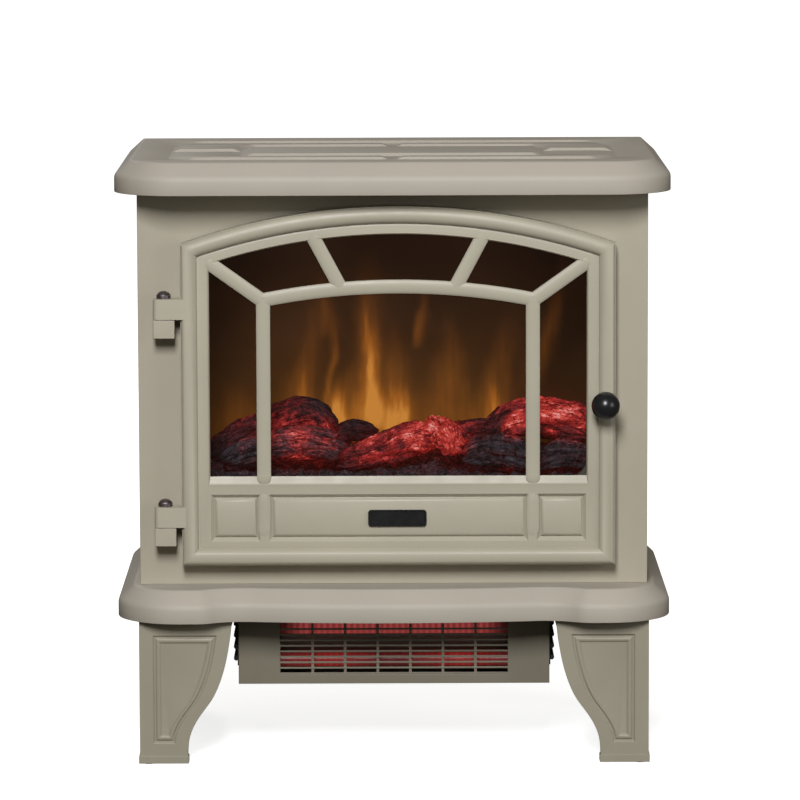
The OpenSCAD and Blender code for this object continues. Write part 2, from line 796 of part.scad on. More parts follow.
// Rocker that rests with its lower end pressed in
rocker_tilt = 7;
module rocker(x) {
    color([0.75, 0.1, 0.08]) translate([x, rocker_axis_y, control_z]) rotate([rocker_tilt, 0, 0]) {
        along_x(-5.6, 5.6) polygon([[-4.5, -8.4], [-3.2, 0], [-4.5, 8.4], [0, 8.4], [4, 3],
                                    [4, -3], [0, -8.4]]);
        rod_x(1.2, -6.6, 6.6, 0, 0);
    }
}
module power_rocker() { rocker(rocker_x[0]); }
module heat_rocker() { rocker(rocker_x[1]); }

// Potentiometer bodies behind the panel
module dial_controls() {
    color(steel) for (x = dial_x) difference() {
        union() {
            rod_y(8, panel_y + 2, panel_y + 14, x, control_z);
            rod_y(4.5, panel_y - 1, panel_y + 2, x, control_z);
        }
        rod_y(dial_shaft_r + run, panel_y - 2, panel_y + 10, x, control_z);
    }
}

module dial(x) {
    grip_y0 = panel_y - 10;
    color(black) {
        rod_y(dial_shaft_r, grip_y0 + 4, panel_y + 9, x, control_z);
        difference() {
            rod_y(12, grip_y0, panel_y - 1.5, x, control_z);
            for (a = [0:20:340]) translate([x, 0, control_z]) rotate([0, a, 0])
                rod_y(0.8, grip_y0 - 1, panel_y - 3, 12.2, 0);
            rod_y(dial_shaft_r, grip_y0 + 4, panel_y, x, control_z);
        }
        along_y(grip_y0 - 1.2, grip_y0 + 1) translate([x, control_z + 6]) square([1.6, 9], center = true);
    }
}
module thermostat_dial() { dial(dial_x[0]); }
module flame_dial() { dial(dial_x[1]); }

module control_board() {
    board_z = deck_z + 6;
    color([0.1, 0.35, 0.15]) block([20, 20, board_z], [150, 110, board_z + 1.6]);
    color(black) {
        block([30, 35, board_z + 1.6], [58, 60, board_z + 22]);
        block([70, 30, board_z + 1.6], [95, 70, board_z + 16]);
        block([60, 85, board_z + 1.6], [140, 100, board_z + 12]);
    }
    color(steel) for (x = [26, 144], y = [26, 104]) rod_z(3, deck_z, board_z, x, y);
}

module cord_gland() {
    color(black) difference() {
        union() {
            rod_y(gland_r, back_y - 8, back_y + 6, gland_x, gland_z);
            rod_y(11, back_y, back_y + 3, gland_x, gland_z);
            rod_y(10, back_y - 8, back_y - sheet, gland_x, gland_z);
        }
        rod_y(4, back_y - 9, back_y + 7, gland_x, gland_z);
    }
}

// --- Heater ----------------------------------------------------------------------------------

heater_z0 = base_z - heater_h;
heater_y0 = front_y + 60;
heater_y1 = 90;
grille_w = 215;
grille_z0 = heater_z0 + 9;
grille_z1 = base_z - 7;

module heater_housing() {
    w = heater_w / 2;
    color(paint) difference() {
        block([-w, heater_y0, heater_z0], [w, heater_y1, base_z]);
        block([-w + sheet, heater_y0 + sheet, heater_z0 + sheet],
              [w - sheet, heater_y1 - sheet, base_z + 1]);
        along_y(heater_y0 - 1, heater_y0 + sheet + 1)
            translate([-grille_w / 2, grille_z0]) square([grille_w, grille_z1 - grille_z0]);
        for (k = [0:4]) along_y(heater_y1 - sheet - 1, heater_y1 + 1)
            translate([0, heater_z0 + 12 + 10 * k]) square([180, 4], center = true);
    }
}

slat_pitch = 5.3;
slat_t = 1.7;
bar_pitch = 30.8;
module heater_grille() {
    border = 6;
    color([0.60, 0.57, 0.50]) {
        along_y(heater_y0 + sheet, heater_y0 + sheet + 1.5) difference() {
            translate([-grille_w / 2 - border, grille_z0 - 4])
                square([grille_w + 2 * border, grille_z1 - grille_z0 + 8]);
            translate([-grille_w / 2, grille_z0]) square([grille_w, grille_z1 - grille_z0]);
        }
        along_y(heater_y0 + 0.4, heater_y0 + sheet + 1) for (k = [0:slat_count - 1])
            translate([-grille_w / 2, grille_z0 + k * slat_pitch]) square([grille_w, slat_t]);
        along_y(heater_y0 + 1, heater_y0 + sheet + 1.5) for (k = [-2.5:2.5])
            translate([k * bar_pitch - 1.25, grille_z0]) square([2.5, grille_z1 - grille_z0]);
    }
}

tube_y = heater_y0 + 30;
tube_z = [heater_z0 + 18, base_z - 18];
holder_x = 118;
module quartz_tubes() {
    color([0.95, 0.35, 0.2]) for (z = tube_z) rod_x(tube_r, -holder_x + 2, holder_x - 2, tube_y, z);
}

module tube_holders() {
    color([0.9, 0.88, 0.84]) for (s = [-1, 1], z = tube_z) difference() {
        translate([s * (holder_x + 3), tube_y, z]) cube([14, 24, 24], center = true);
        rod_x(tube_r, s * holder_x - 5, s * holder_x + 5, tube_y, z);
    }
}

// Trough behind the tubes
module reflector() {
    reach = 27;
    color([0.85, 0.85, 0.87]) along_x(-holder_x + 10, holder_x - 10)
        translate([tube_y - 4, (tube_z[0] + tube_z[1]) / 2]) intersection() {
            difference() {
                circle(r = reach + 1);
                circle(r = reach);
            }
            translate([8, -24]) square([reach, 48]);
        }
}

module thermal_cutoff() {
    z = (tube_z[0] + tube_z[1]) / 2;
    color(black) rod_y(7, tube_y + 24, tube_y + 30, 60, z);
    color(steel) for (s = [-1, 1]) block([60 + s * 4 - 1, tube_y + 30, z - 0.5],
                                         [60 + s * 4 + 1, tube_y + 36, z + 0.5]);
}

// Black louvred inserts in both sides of the heater box
module side_vents() {
    color(black) for (s = [-1, 1]) {
        x0 = s * heater_w / 2;
        block([min(x0, x0 + s * 1.2), heater_y0 + 10, heater_z0 + 16],
              [max(x0, x0 + s * 1.2), heater_y0 + 60, base_z - 1]);
        for (k = [0:3])
            rod_y(2.4, heater_y0 + 10, heater_y0 + 60, x0 + s * 2.4, heater_z0 + 23 + k * 11);
    }
}

wheel_pos = [heater_y0 + 108, (heater_z0 + base_z) / 2];
wheel_r = 24;
wheel_x = [-100, 52];
shaft_r = 3;
module blower_wheel() {
    blades = 16;
    color(steel) {
        difference() {
            for (x = [wheel_x[0], (wheel_x[0] + wheel_x[1]) / 2, wheel_x[1] - 2])
                rod_x(wheel_r, x, x + 2, wheel_pos[0], wheel_pos[1]);
            rod_x(shaft_r, wheel_x[0] - 1, wheel_x[1] + 1, wheel_pos[0], wheel_pos[1]);
        }
        rod_x(shaft_r, wheel_x[0] - 9, wheel_x[1] + 14, wheel_pos[0], wheel_pos[1]);
        for (k = [0:blades - 1]) translate([0, wheel_pos[0], wheel_pos[1]])
            rotate([k * 360 / blades, 0, 0]) translate([wheel_x[0] + 1, 0, wheel_r - 5.5])
                rotate([25, 0, 0]) cube([wheel_x[1] - wheel_x[0] - 2, 0.8, 5]);
    }
}

module blower_motor() {
    x0 = wheel_x[1] + 5;
    color([0.35, 0.35, 0.38]) difference() {
        union() {
            rod_x(24, x0 + 4, x0 + 40, wheel_pos[0], wheel_pos[1]);
            rod_x(7, x0, x0 + 4, wheel_pos[0], wheel_pos[1]);
            block([x0 + 8, wheel_pos[0] - 14, heater_z0 + sheet], [x0 + 30, wheel_pos[0] + 14,
                                                                  wheel_pos[1]]);
        }
        rod_x(shaft_r + run, x0 - 1, x0 + 12, wheel_pos[0], wheel_pos[1]);
    }
}

module blower_bushing() {
    x1 = wheel_x[0] - 3;
    color(black) difference() {
        union() {
            rod_x(9, x1 - 8, x1, wheel_pos[0], wheel_pos[1]);
            block([x1 - 8, wheel_pos[0] - 5, heater_z0 + sheet], [x1 - 3, wheel_pos[0] + 5,
                                                                  wheel_pos[1]]);
        }
        rod_x(shaft_r + run, x1 - 9, x1 + 1, wheel_pos[0], wheel_pos[1]);
    }
}

// --- Assembly --------------------------------------------------------------------------------

top_slab();
left_side_panel();
right_side_panel();
front_frame();
rear_cover();
rear_cover_screws();
base_slab();
base_plate();
leg_front_left();
leg_front_right();
leg_rear_left();
leg_rear_right();
leg_screws();
floor_glides();
upper_hinge_bracket();
lower_hinge_bracket();
upper_hinge_pin();
lower_hinge_pin();
firebox_shell();
flame_screen();
ember_bed();
log_left();
log_centre();
log_right();
log_split();
ember_lamp_board();
flame_lamp_board();
flicker_motor();
flicker_bushing();
flicker_rod();
flicker_foils();
control_panel();
switch_bezels();
power_rocker();
heat_rocker();
thermostat_dial();
flame_dial();
dial_controls();
control_board();
heater_housing();
heater_grille();
quartz_tubes();
tube_holders();
reflector();
thermal_cutoff();
side_vents();
blower_motor();
blower_bushing();
blower_wheel();
cord_gland();
door_magnet();
door_frame();
window_grid();
door_glass();
glass_clips();
badge_plate();
upper_hinge_arm();
lower_hinge_arm();
door_knob();
door_fittings();
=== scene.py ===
"""Looks of the free-standing electric fireplace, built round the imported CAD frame.

Shapes below are in millimetres, as in the part's source, and Shell.piece turns them into metres.
"""

import json
import math

import bmesh
import bpy
from mathutils import Matrix, Vector, geometry, noise


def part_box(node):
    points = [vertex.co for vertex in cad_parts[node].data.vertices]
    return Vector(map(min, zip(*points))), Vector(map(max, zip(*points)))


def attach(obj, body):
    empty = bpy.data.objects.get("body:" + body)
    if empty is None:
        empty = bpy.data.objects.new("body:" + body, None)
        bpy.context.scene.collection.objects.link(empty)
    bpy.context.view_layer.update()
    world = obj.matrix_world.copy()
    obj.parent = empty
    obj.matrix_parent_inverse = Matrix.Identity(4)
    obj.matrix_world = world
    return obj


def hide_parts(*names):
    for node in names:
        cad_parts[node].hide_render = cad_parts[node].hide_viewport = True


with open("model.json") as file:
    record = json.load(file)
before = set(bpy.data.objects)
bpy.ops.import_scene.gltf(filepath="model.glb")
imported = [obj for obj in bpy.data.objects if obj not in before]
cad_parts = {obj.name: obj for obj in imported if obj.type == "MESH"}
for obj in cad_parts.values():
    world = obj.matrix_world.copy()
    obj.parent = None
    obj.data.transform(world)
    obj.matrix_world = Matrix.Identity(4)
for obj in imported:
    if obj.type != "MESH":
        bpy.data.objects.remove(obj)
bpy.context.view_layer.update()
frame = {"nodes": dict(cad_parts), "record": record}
nodes = frame["nodes"]
slot_of = {row["node"]: row["material_slot"] for row in frame["record"]["subparts"]}
scene = bpy.context.scene
MM = 0.001


def span(node):
    """Lowest and highest corner of a CAD node, in millimetres."""
    low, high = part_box(node)
    return Vector(low) / MM, Vector(high) / MM


# --- Camera and light, in metres and radians --------------------------------------------------

# Read from the perspective of the top, the base and the legs
CAMERA_PLACE = (-0.00185, -4.7017, 0.9274)
CAMERA_PITCH, CAMERA_ROLL, CAMERA_YAW = 0.1271, -0.0033, -0.0018
LENS_MM, SENSOR_MM = 222.255, 36


def make_camera():
    data = bpy.data.cameras.new("camera")
    data.sensor_width = SENSOR_MM
    data.lens = LENS_MM
    data.clip_end = 200
    camera = bpy.data.objects.new("camera", data)
    turn = (Matrix.Rotation(CAMERA_YAW, 4, "Z")
            @ Matrix.Rotation(math.pi / 2 - CAMERA_PITCH, 4, "X")
            @ Matrix.Rotation(CAMERA_ROLL, 4, "Z"))
    camera.matrix_world = Matrix.Translation(CAMERA_PLACE) @ turn
    scene.collection.objects.link(camera)
    scene.camera = camera


def area_light(name, place, aim, size, watts):
    data = bpy.data.lights.new(name, "AREA")
    data.shape = "RECTANGLE"
    data.size, data.size_y = size
    data.energy = watts
    light = bpy.data.objects.new(name, data)
    light.location = place
    light.rotation_euler = (Vector(aim) - Vector(place)).to_track_quat("-Z", "Y").to_euler()
    scene.collection.objects.link(light)


def make_lights():
    area_light("key", (-0.3, -3.94, 2.65), (0, -0.1, 0.32), (0.9, 1.5), 180)
    area_light("side_fill", (2.6, -2.0, 1.0), (0, 0, 0.3), (1.2, 1.2), 16)
    area_light("rear_fill", (-1.2, 2.8, 2.0), (0, 0, 0.3), (1.6, 1.2), 14)
    world = bpy.data.worlds.new("studio")
    world.use_nodes = True
    sky = world.node_tree.nodes["Background"]
    sky.inputs["Color"].default_value = (1, 0.91, 0.76, 1)
    sky.inputs["Strength"].default_value = 0.1
    scene.world = world
    scene.view_settings.view_transform = "Standard"


make_camera()
make_lights()


# --- Materials ------------------------------------------------------------------------------


def srgb(red, green, blue):
    """Linear colour from a 0-255 display colour."""
    def linear(value):
        value /= 255
        return value / 12.92 if value <= 0.04045 else ((value + 0.055) / 1.055) ** 2.4
    return (linear(red), linear(green), linear(blue), 1)


def shade(colour, factor):
    """The colour made lighter or darker."""
    return (*[channel * factor for channel in colour[:3]], 1)


class Shader:
    """A Principled material with textures in object space, whose unit is a metre."""

    def __init__(self, name, **sockets):
        self.material = bpy.data.materials.new(name)
        self.material.use_nodes = True
        self.tree = self.material.node_tree
        self.surface = self.tree.nodes["Principled BSDF"]
        self.place = self.add("ShaderNodeTexCoord").outputs["Object"]
        self.set(**sockets)

    def add(self, kind, **settings):
        node = self.tree.nodes.new(kind)
        for name, value in settings.items():
            setattr(node, name, value)
        return node

    def put(self, socket, value):
        """Gives a socket a value, or links another node's output to it."""
        if isinstance(value, bpy.types.NodeSocket):
            self.tree.links.new(value, socket)
        else:
            socket.default_value = value

    def set(self, **sockets):
        """Sockets of the surface by name, with _ for a space."""
        for name, value in sockets.items():
            self.put(self.surface.inputs[name.replace("_", " ")], value)

    def scaled(self, x, y, z):
        """Texture coordinates that stretch a pattern along the axes with a small factor."""
        mapping = self.add("ShaderNodeMapping")
        self.put(mapping.inputs["Vector"], self.place)
        mapping.inputs["Scale"].default_value = (x, y, z)
        return mapping.outputs["Vector"]

    def noise(self, scale, detail=4, rough=0.5, warp=0, place=None):
        node = self.add("ShaderNodeTexNoise")
        self.put(node.inputs["Vector"], place or self.place)
        node.inputs["Scale"].default_value = scale
        node.inputs["Detail"].default_value = detail
        node.inputs["Roughness"].default_value = rough
        node.inputs["Distortion"].default_value = warp
        return node.outputs["Fac"]

    def veins(self, scale, **kind):
        """Distance of a noise from its middle value: 0 along thin, winding lines."""
        return self.math("ABSOLUTE", self.math("SUBTRACT", self.noise(scale, **kind), 0.5))

    def ramp(self, value, stops):
        """stops: (position, colour or grey level), from low to high."""
        node = self.add("ShaderNodeValToRGB")
        self.put(node.inputs["Fac"], value)
        band = node.color_ramp
        while len(band.elements) < len(stops):
            band.elements.new(1)
        for element, (position, colour) in zip(band.elements, stops):
            element.position = position
            element.color = colour if isinstance(colour, tuple) else (colour, colour, colour, 1)
        return node.outputs["Color"]

    def math(self, operation, a, b=0.0, clamp=False):
        node = self.add("ShaderNodeMath", operation=operation, use_clamp=clamp)
        self.put(node.inputs[0], a)
        self.put(node.inputs[1], b)
        return node.outputs["Value"]

    def mix(self, factor, a, b, blend="MIX"):
        node = self.add("ShaderNodeMix", data_type="RGBA", blend_type=blend)
        colour_sockets = [socket for socket in node.inputs if socket.type == "RGBA"]
        self.put(node.inputs["Factor"], factor)
        self.put(colour_sockets[0], a)
        self.put(colour_sockets[1], b)
        return [socket for socket in node.outputs if socket.type == "RGBA"][0]

    def axes(self):
        node = self.add("ShaderNodeSeparateXYZ")
        self.put(node.inputs["Vector"], self.place)
        return node.outputs["X"], node.outputs["Y"], node.outputs["Z"]

    def attribute(self, name, output="Fac"):
        return self.add("ShaderNodeAttribute", attribute_name=name).outputs[output]

    def bump(self, height, depth):
        """depth: relief of the height's full range, in millimetres."""
        node = self.add("ShaderNodeBump")
        self.put(node.inputs["Height"], height)
        node.inputs["Distance"].default_value = depth * MM
        self.put(self.surface.inputs["Normal"], node.outputs["Normal"])


def paint(name, colour, rough=0.46, patchy=0.05):
    """Powder coat: fine orange peel, faint cloudiness, and edges rubbed a little lighter."""
    shader = Shader(name)
    base = shader.ramp(shader.noise(9, detail=3), [(0.3, shade(colour, 0.965)), (0.7, shade(colour, 1.03))])
    speck = shader.ramp(shader.noise(1500, detail=2), [(0.35, 0.35), (0.65, 1.0)])
    base = shader.mix(0.06, base, speck, "MULTIPLY")
    edge = shader.ramp(shader.add("ShaderNodeNewGeometry").outputs["Pointiness"],
                       [(0.52, 0.0), (0.60, 1.0)])
    worn = shader.math("MULTIPLY", edge, shader.ramp(shader.noise(45), [(0.4, 0.0), (0.7, 0.35)]))
    shader.set(Base_Color=shader.mix(worn, base, shade(colour, 1.2)))
    shader.set(Roughness=shader.ramp(shader.noise(60), [(0.3, rough - patchy), (0.7, rough + patchy)]))
    shader.bump(shader.noise(850, detail=3, rough=0.6), 0.05)
    return shader.material


def plastic(name, colour, rough, relief=0.03, scale=700):
    """Moulded plastic, rubber, ceramic or dull sheet with a fine grain."""
    shader = Shader(name)
    patch = shader.noise(25, detail=4)
    shader.set(Base_Color=shader.ramp(patch, [(0.3, shade(colour, 0.85)), (0.7, shade(colour, 1.15))]))
    shader.set(Roughness=shader.ramp(shader.noise(110), [(0.3, rough * 0.85), (0.7, rough * 1.15)]))
    shader.bump(shader.noise(scale, detail=4), relief)
    return shader.material


def metal(name, colour, rough, stretch=(1, 1, 1)):
    """Drawn or plated metal. The marks run along the axis whose stretch is smallest."""
    shader = Shader(name, Metallic=1.0)
    marks = shader.noise(900, detail=5, place=shader.scaled(*stretch))
    shader.set(Base_Color=shader.ramp(marks, [(0.3, shade(colour, 0.8)), (0.7, shade(colour, 1.05))]))
    shader.set(Roughness=shader.ramp(marks, [(0.25, rough * 0.75), (0.75, rough * 1.3)]))
    shader.bump(marks, 0.02)
    return shader.material


# Quartz tubes, in metres: where the upper one begins, the hot spots' distance from the middle
# and their reach, the turns of the coil in a metre, and where the upper one's glow fades
UPPER_TUBE_Z = (0.100, 0.106)
HOT_SPOT_X, HOT_SPOT_R = 0.062, 0.05
COIL_TURNS = 350
GLOW_END_X = (0.085, 0.104)


def lit_tube(name):
    """Frosted tubes with a coil inside: the upper one pink, the lower one red in two spots."""
    shader = Shader(name, Roughness=0.3, Emission_Strength=1.0)
    x, _, z = shader.axes()
    upper = shader.ramp(z, [(UPPER_TUBE_Z[0], 0.0), (UPPER_TUBE_Z[1], 1.0)])
    coil = shader.math("PINGPONG", shader.math("MULTIPLY", x, COIL_TURNS), 1.0)
    reach = shader.math("ABSOLUTE", x)
    away = shader.math("ABSOLUTE", shader.math("SUBTRACT", reach, HOT_SPOT_X))
    spot = shader.math("DIVIDE", away, HOT_SPOT_R)
    dull = shader.ramp(spot, [(0.0, srgb(126, 26, 22)), (1.0, srgb(52, 12, 12))])
    pink = shader.ramp(reach, [(GLOW_END_X[0], srgb(150, 60, 58)), (GLOW_END_X[1], srgb(40, 12, 12))])
    warm = shader.mix(upper, dull, pink)
    shader.set(Emission_Color=shader.mix(coil, shader.mix(0.6, warm, (0, 0, 0, 1)), warm))
    shader.set(Base_Color=shader.ramp(shader.noise(50),
                                      [(0.3, srgb(150, 60, 64)), (0.7, srgb(176, 76, 80))]))
    return shader.material


def smoked_glass(name):
    """Dark tinted pane that shows the fire behind it."""
    shader = Shader(name, Alpha=0.35, Roughness=0.03, IOR=1.45, Specular_IOR_Level=0.2)
    haze = shader.noise(14, detail=2)
    shader.set(Base_Color=shader.ramp(haze, [(0.3, srgb(16, 10, 7)), (0.7, srgb(24, 15, 10))]))
    return shader.material


def charred(name, dark, ash, warm, strength):
    """Moulded bark lit from inside. The vertex attribute "ember" is the glow behind it, and
    "grain" is a place along and round the log, so that fibres and cracks follow the wood."""
    shader = Shader(name, Emission_Strength=strength)
    grain = shader.attribute("grain", "Vector")
    fibre = shader.noise(430, detail=9, rough=0.62, warp=0.5, place=grain)
    strand = shader.noise(150, detail=6, rough=0.55, warp=0.9, place=grain)
    crust = shader.noise(230, detail=10, rough=0.78, warp=0.6)
    area = shader.noise(64, detail=6, rough=0.6, warp=1.2)
    split = shader.ramp(shader.veins(70, detail=6, rough=0.6, place=grain), [(0.0, 0.15), (0.026, 1.0)])
    break_up = shader.ramp(shader.veins(48, detail=7, rough=0.65, warp=1.0), [(0.0, 0.3), (0.02, 1.0)])
    crack = shader.math("MULTIPLY", split, break_up)
    body = shader.ramp(shader.mix(0.5, fibre, crust),
                       [(0.40, dark), (0.52, shade(ash, 0.5)), (0.64, ash)])
    shader.set(Base_Color=shader.mix(crack, shade(dark, 0.3), body), Roughness=0.8)
    thin = shader.ramp(fibre, [(0.36, 0.3), (0.62, 1.0)])
    for pattern, stops in ((strand, [(0.38, 0.2), (0.60, 1.0)]), (crust, [(0.40, 0.25), (0.58, 1.15)]),
                           (area, [(0.38, 0.3), (0.56, 1.2)])):
        thin = shader.math("MULTIPLY", thin, shader.ramp(pattern, stops))
    ember = shader.attribute("ember")
    glow = shader.math("ADD", shader.math("MULTIPLY", thin, 0.85), shader.math("MULTIPLY", ember, 0.34))
    glow = shader.math("MULTIPLY", ember, glow)
    glow = shader.math("MULTIPLY", glow, shader.math("ADD", crack, 0.10), clamp=True)
    shader.set(Emission_Color=shader.ramp(glow, [
        (0.0, 0.0), (0.12, shade(warm, 0.10)), (0.36, shade(warm, 0.55)),
        (0.66, srgb(240, 80, 64)), (0.95, srgb(255, 180, 172))]))
    relief = shader.math("ADD", fibre, shader.math("MULTIPLY", crack, 0.4))
    shader.bump(shader.math("ADD", relief, shader.math("MULTIPLY", strand, 1.2)), 1.5)
    return shader.material


# Tongues of flame on the screen, in millimetres: foot (x, z), tip (x, z), half width, brightness
FLAMES = [
    ((-17, 290), (-20, 436), 8.5, 0.74), ((-18, 290), (-24, 480), 13, 0.34),
    ((-14, 284), (-12, 360), 10, 0.3), ((-50, 276), (-42, 366), 10, 0.6),
    ((-46, 280), (-58, 350), 8, 0.5), ((-62, 310), (-60, 410), 4, 0.42),
    ((-3, 276), (14, 350), 9, 0.85), ((8, 290), (4, 410), 9, 0.3),
    ((-30, 280), (-30, 340), 22, 0.4), ((92, 276), (94, 372), 9, 0.46),
    ((90, 276), (84, 352), 14, 0.3), ((98, 290), (118, 430), 9, 0.18),
    ((-94, 290), (-94, 372), 14, 0.42), ((-96, 300), (-74, 460), 13, 0.16),
    ((56, 300), (52, 420), 9, 0.26), ((26, 370), (31, 440), 4, 0.26),
    ((-66, 380), (-74, 450), 9, 0.2), ((134, 330), (170, 470), 9, 0.18),
    ((-150, 276), (-152, 348), 13, 0.24), ((40, 276), (44, 352), 30, 0.26),
]
SWAY = 44                           # how far the flames are bent to the side, from end to end
SCREEN_Z, SCREEN_H = 290, 230       # foot and height of the field that is seen over the logs
FIELD_X, FIELD_HALF = -10, 190      # middle and half width of that field


def flame_picture(name):
    """Backlit screen: soft streaky tongues of flame over a dim brown field."""
    shader = Shader(name, Roughness=0.35, Emission_Strength=1.62)
    x, _, z = shader.axes()
    curl = shader.noise(20, detail=3, rough=0.5, place=shader.scaled(1, 1, 0.5))
    x = shader.math("ADD", shader.math("DIVIDE", x, MM), shader.math("MULTIPLY", curl, SWAY))
    x = shader.math("SUBTRACT", x, SWAY / 2)
    z = shader.math("DIVIDE", z, MM)
    total = 0.0
    for (foot_x, foot_z), (tip_x, tip_z), width, bright in FLAMES:
        climb = shader.math("DIVIDE", shader.math("SUBTRACT", z, foot_z), tip_z - foot_z, clamp=True)
        middle = shader.math("ADD", shader.math("MULTIPLY", climb, tip_x - foot_x), foot_x)
        slim = shader.math("SUBTRACT", 1.3 * width, shader.math("MULTIPLY", climb, 0.6 * width))
        off = shader.math("DIVIDE", shader.math("SUBTRACT", x, middle), slim)
        bell = shader.math("POWER", 1 / math.e, shader.math("MULTIPLY", off, off))
        swell = shader.math("SINE", shader.math("MULTIPLY", shader.math("POWER", climb, 0.6), math.pi))
        swell = shader.math("POWER", shader.math("MAXIMUM", swell, 0.0), 1.7)
        tongue = shader.math("MULTIPLY", shader.math("MULTIPLY", bell, swell), bright)
        total = shader.math("ADD", tongue, total)
    streak = shader.noise(120, detail=5, rough=0.55, warp=0.3, place=shader.scaled(1, 1, 0.12))
    streak = shader.ramp(streak, [(0.3, 0.55), (0.7, 1.25)])
    total = shader.math("MULTIPLY", total, streak, clamp=True)
    height = shader.math("DIVIDE", shader.math("SUBTRACT", z, SCREEN_Z), SCREEN_H)
    haze = shader.ramp(height, [(0.0, srgb(98, 58, 15)), (0.18, srgb(84, 51, 18)), (0.42, srgb(68, 41, 20)),
                                (0.72, srgb(46, 28, 17)), (1.0, srgb(40, 25, 16))])
    side = shader.math("DIVIDE", shader.math("ABSOLUTE", shader.math("SUBTRACT", x, FIELD_X)), FIELD_HALF)
    haze = shader.mix(1.0, haze, shader.ramp(side, [(0.45, 1.0), (0.85, 0.42)]), "MULTIPLY")
    patch = shader.ramp(shader.noise(11, detail=4), [(0.35, 0.72), (0.65, 1.12)])
    haze = shader.mix(1.0, haze, patch, "MULTIPLY")
    flame = shader.ramp(total, [(0.0, 0.0), (0.3, srgb(104, 56, 12)), (0.62, srgb(168, 94, 26)),
                                (1.0, srgb(222, 142, 58))])
    shader.set(Emission_Color=shader.mix(1.0, haze, flame, "SCREEN"), Base_Color=srgb(20, 12, 8))
    return shader.material


SLAB = srgb(176, 169, 157)
CABINET = srgb(172, 165, 148)
DOOR = srgb(175, 169, 152)
# Painted shade: the legs' paint is darker than the cabinet's, for the shade they stand in under the base
SHADED_LEG = srgb(154, 148, 131)
# Painted shade: the heater's housing and grille are darker, standing in for the shadow of the base above
# them
SHADED_HEATER = srgb(122, 116, 101)
materials = {
    "cabinet_paint": paint("cabinet_paint", CABINET),
    "slab_paint": paint("slab_paint", SLAB, 0.6, 0.02),
    "door_paint": paint("door_paint", DOOR),
    "leg_paint": paint("leg_paint", SHADED_LEG),
    "heater_paint": paint("heater_paint", SHADED_HEATER),
    "grille_paint": paint("grille_paint", SHADED_HEATER),
    "dark_sheet": plastic("dark_sheet", srgb(24, 22, 21), 0.6),
    "rear_sheet": plastic("rear_sheet", srgb(62, 60, 58), 0.5),
    "zinc_screw": metal("zinc_screw", srgb(200, 200, 205), 0.3),
    "black_oxide": metal("black_oxide", srgb(128, 120, 122), 0.42),
    "black_gloss": plastic("black_gloss", srgb(26, 26, 28), 0.3, 0.005),
    "black_plastic": plastic("black_plastic", srgb(28, 28, 29), 0.5),
    "glide_rubber": plastic("glide_rubber", srgb(30, 30, 30), 0.8),
    "log_resin": charred("log_resin", srgb(24, 19, 23), srgb(112, 106, 118), srgb(214, 48, 44), 1.6),
    "ember_resin": charred("ember_resin", srgb(24, 28, 34), srgb(150, 166, 182), srgb(206, 44, 36), 1.6),
    "circuit": plastic("circuit", srgb(30, 90, 45), 0.4),
    "foil": metal("foil", srgb(225, 215, 200), 0.2),
    "bright_steel": metal("bright_steel", srgb(132, 126, 122), 0.34, (0.02, 1, 1)),
    "switch_red": plastic("switch_red", srgb(150, 22, 18), 0.25, 0.01),
    "quartz_glow": lit_tube("quartz_glow"),
    "ceramic": plastic("ceramic", srgb(225, 220, 210), 0.7),
    "motor_can": metal("motor_can", srgb(150, 150, 155), 0.35),
    "flame_acrylic": flame_picture("flame_acrylic"),
    "window_glass": smoked_glass("window_glass"),
}


# --- Mesh building --------------------------------------------------------------------------


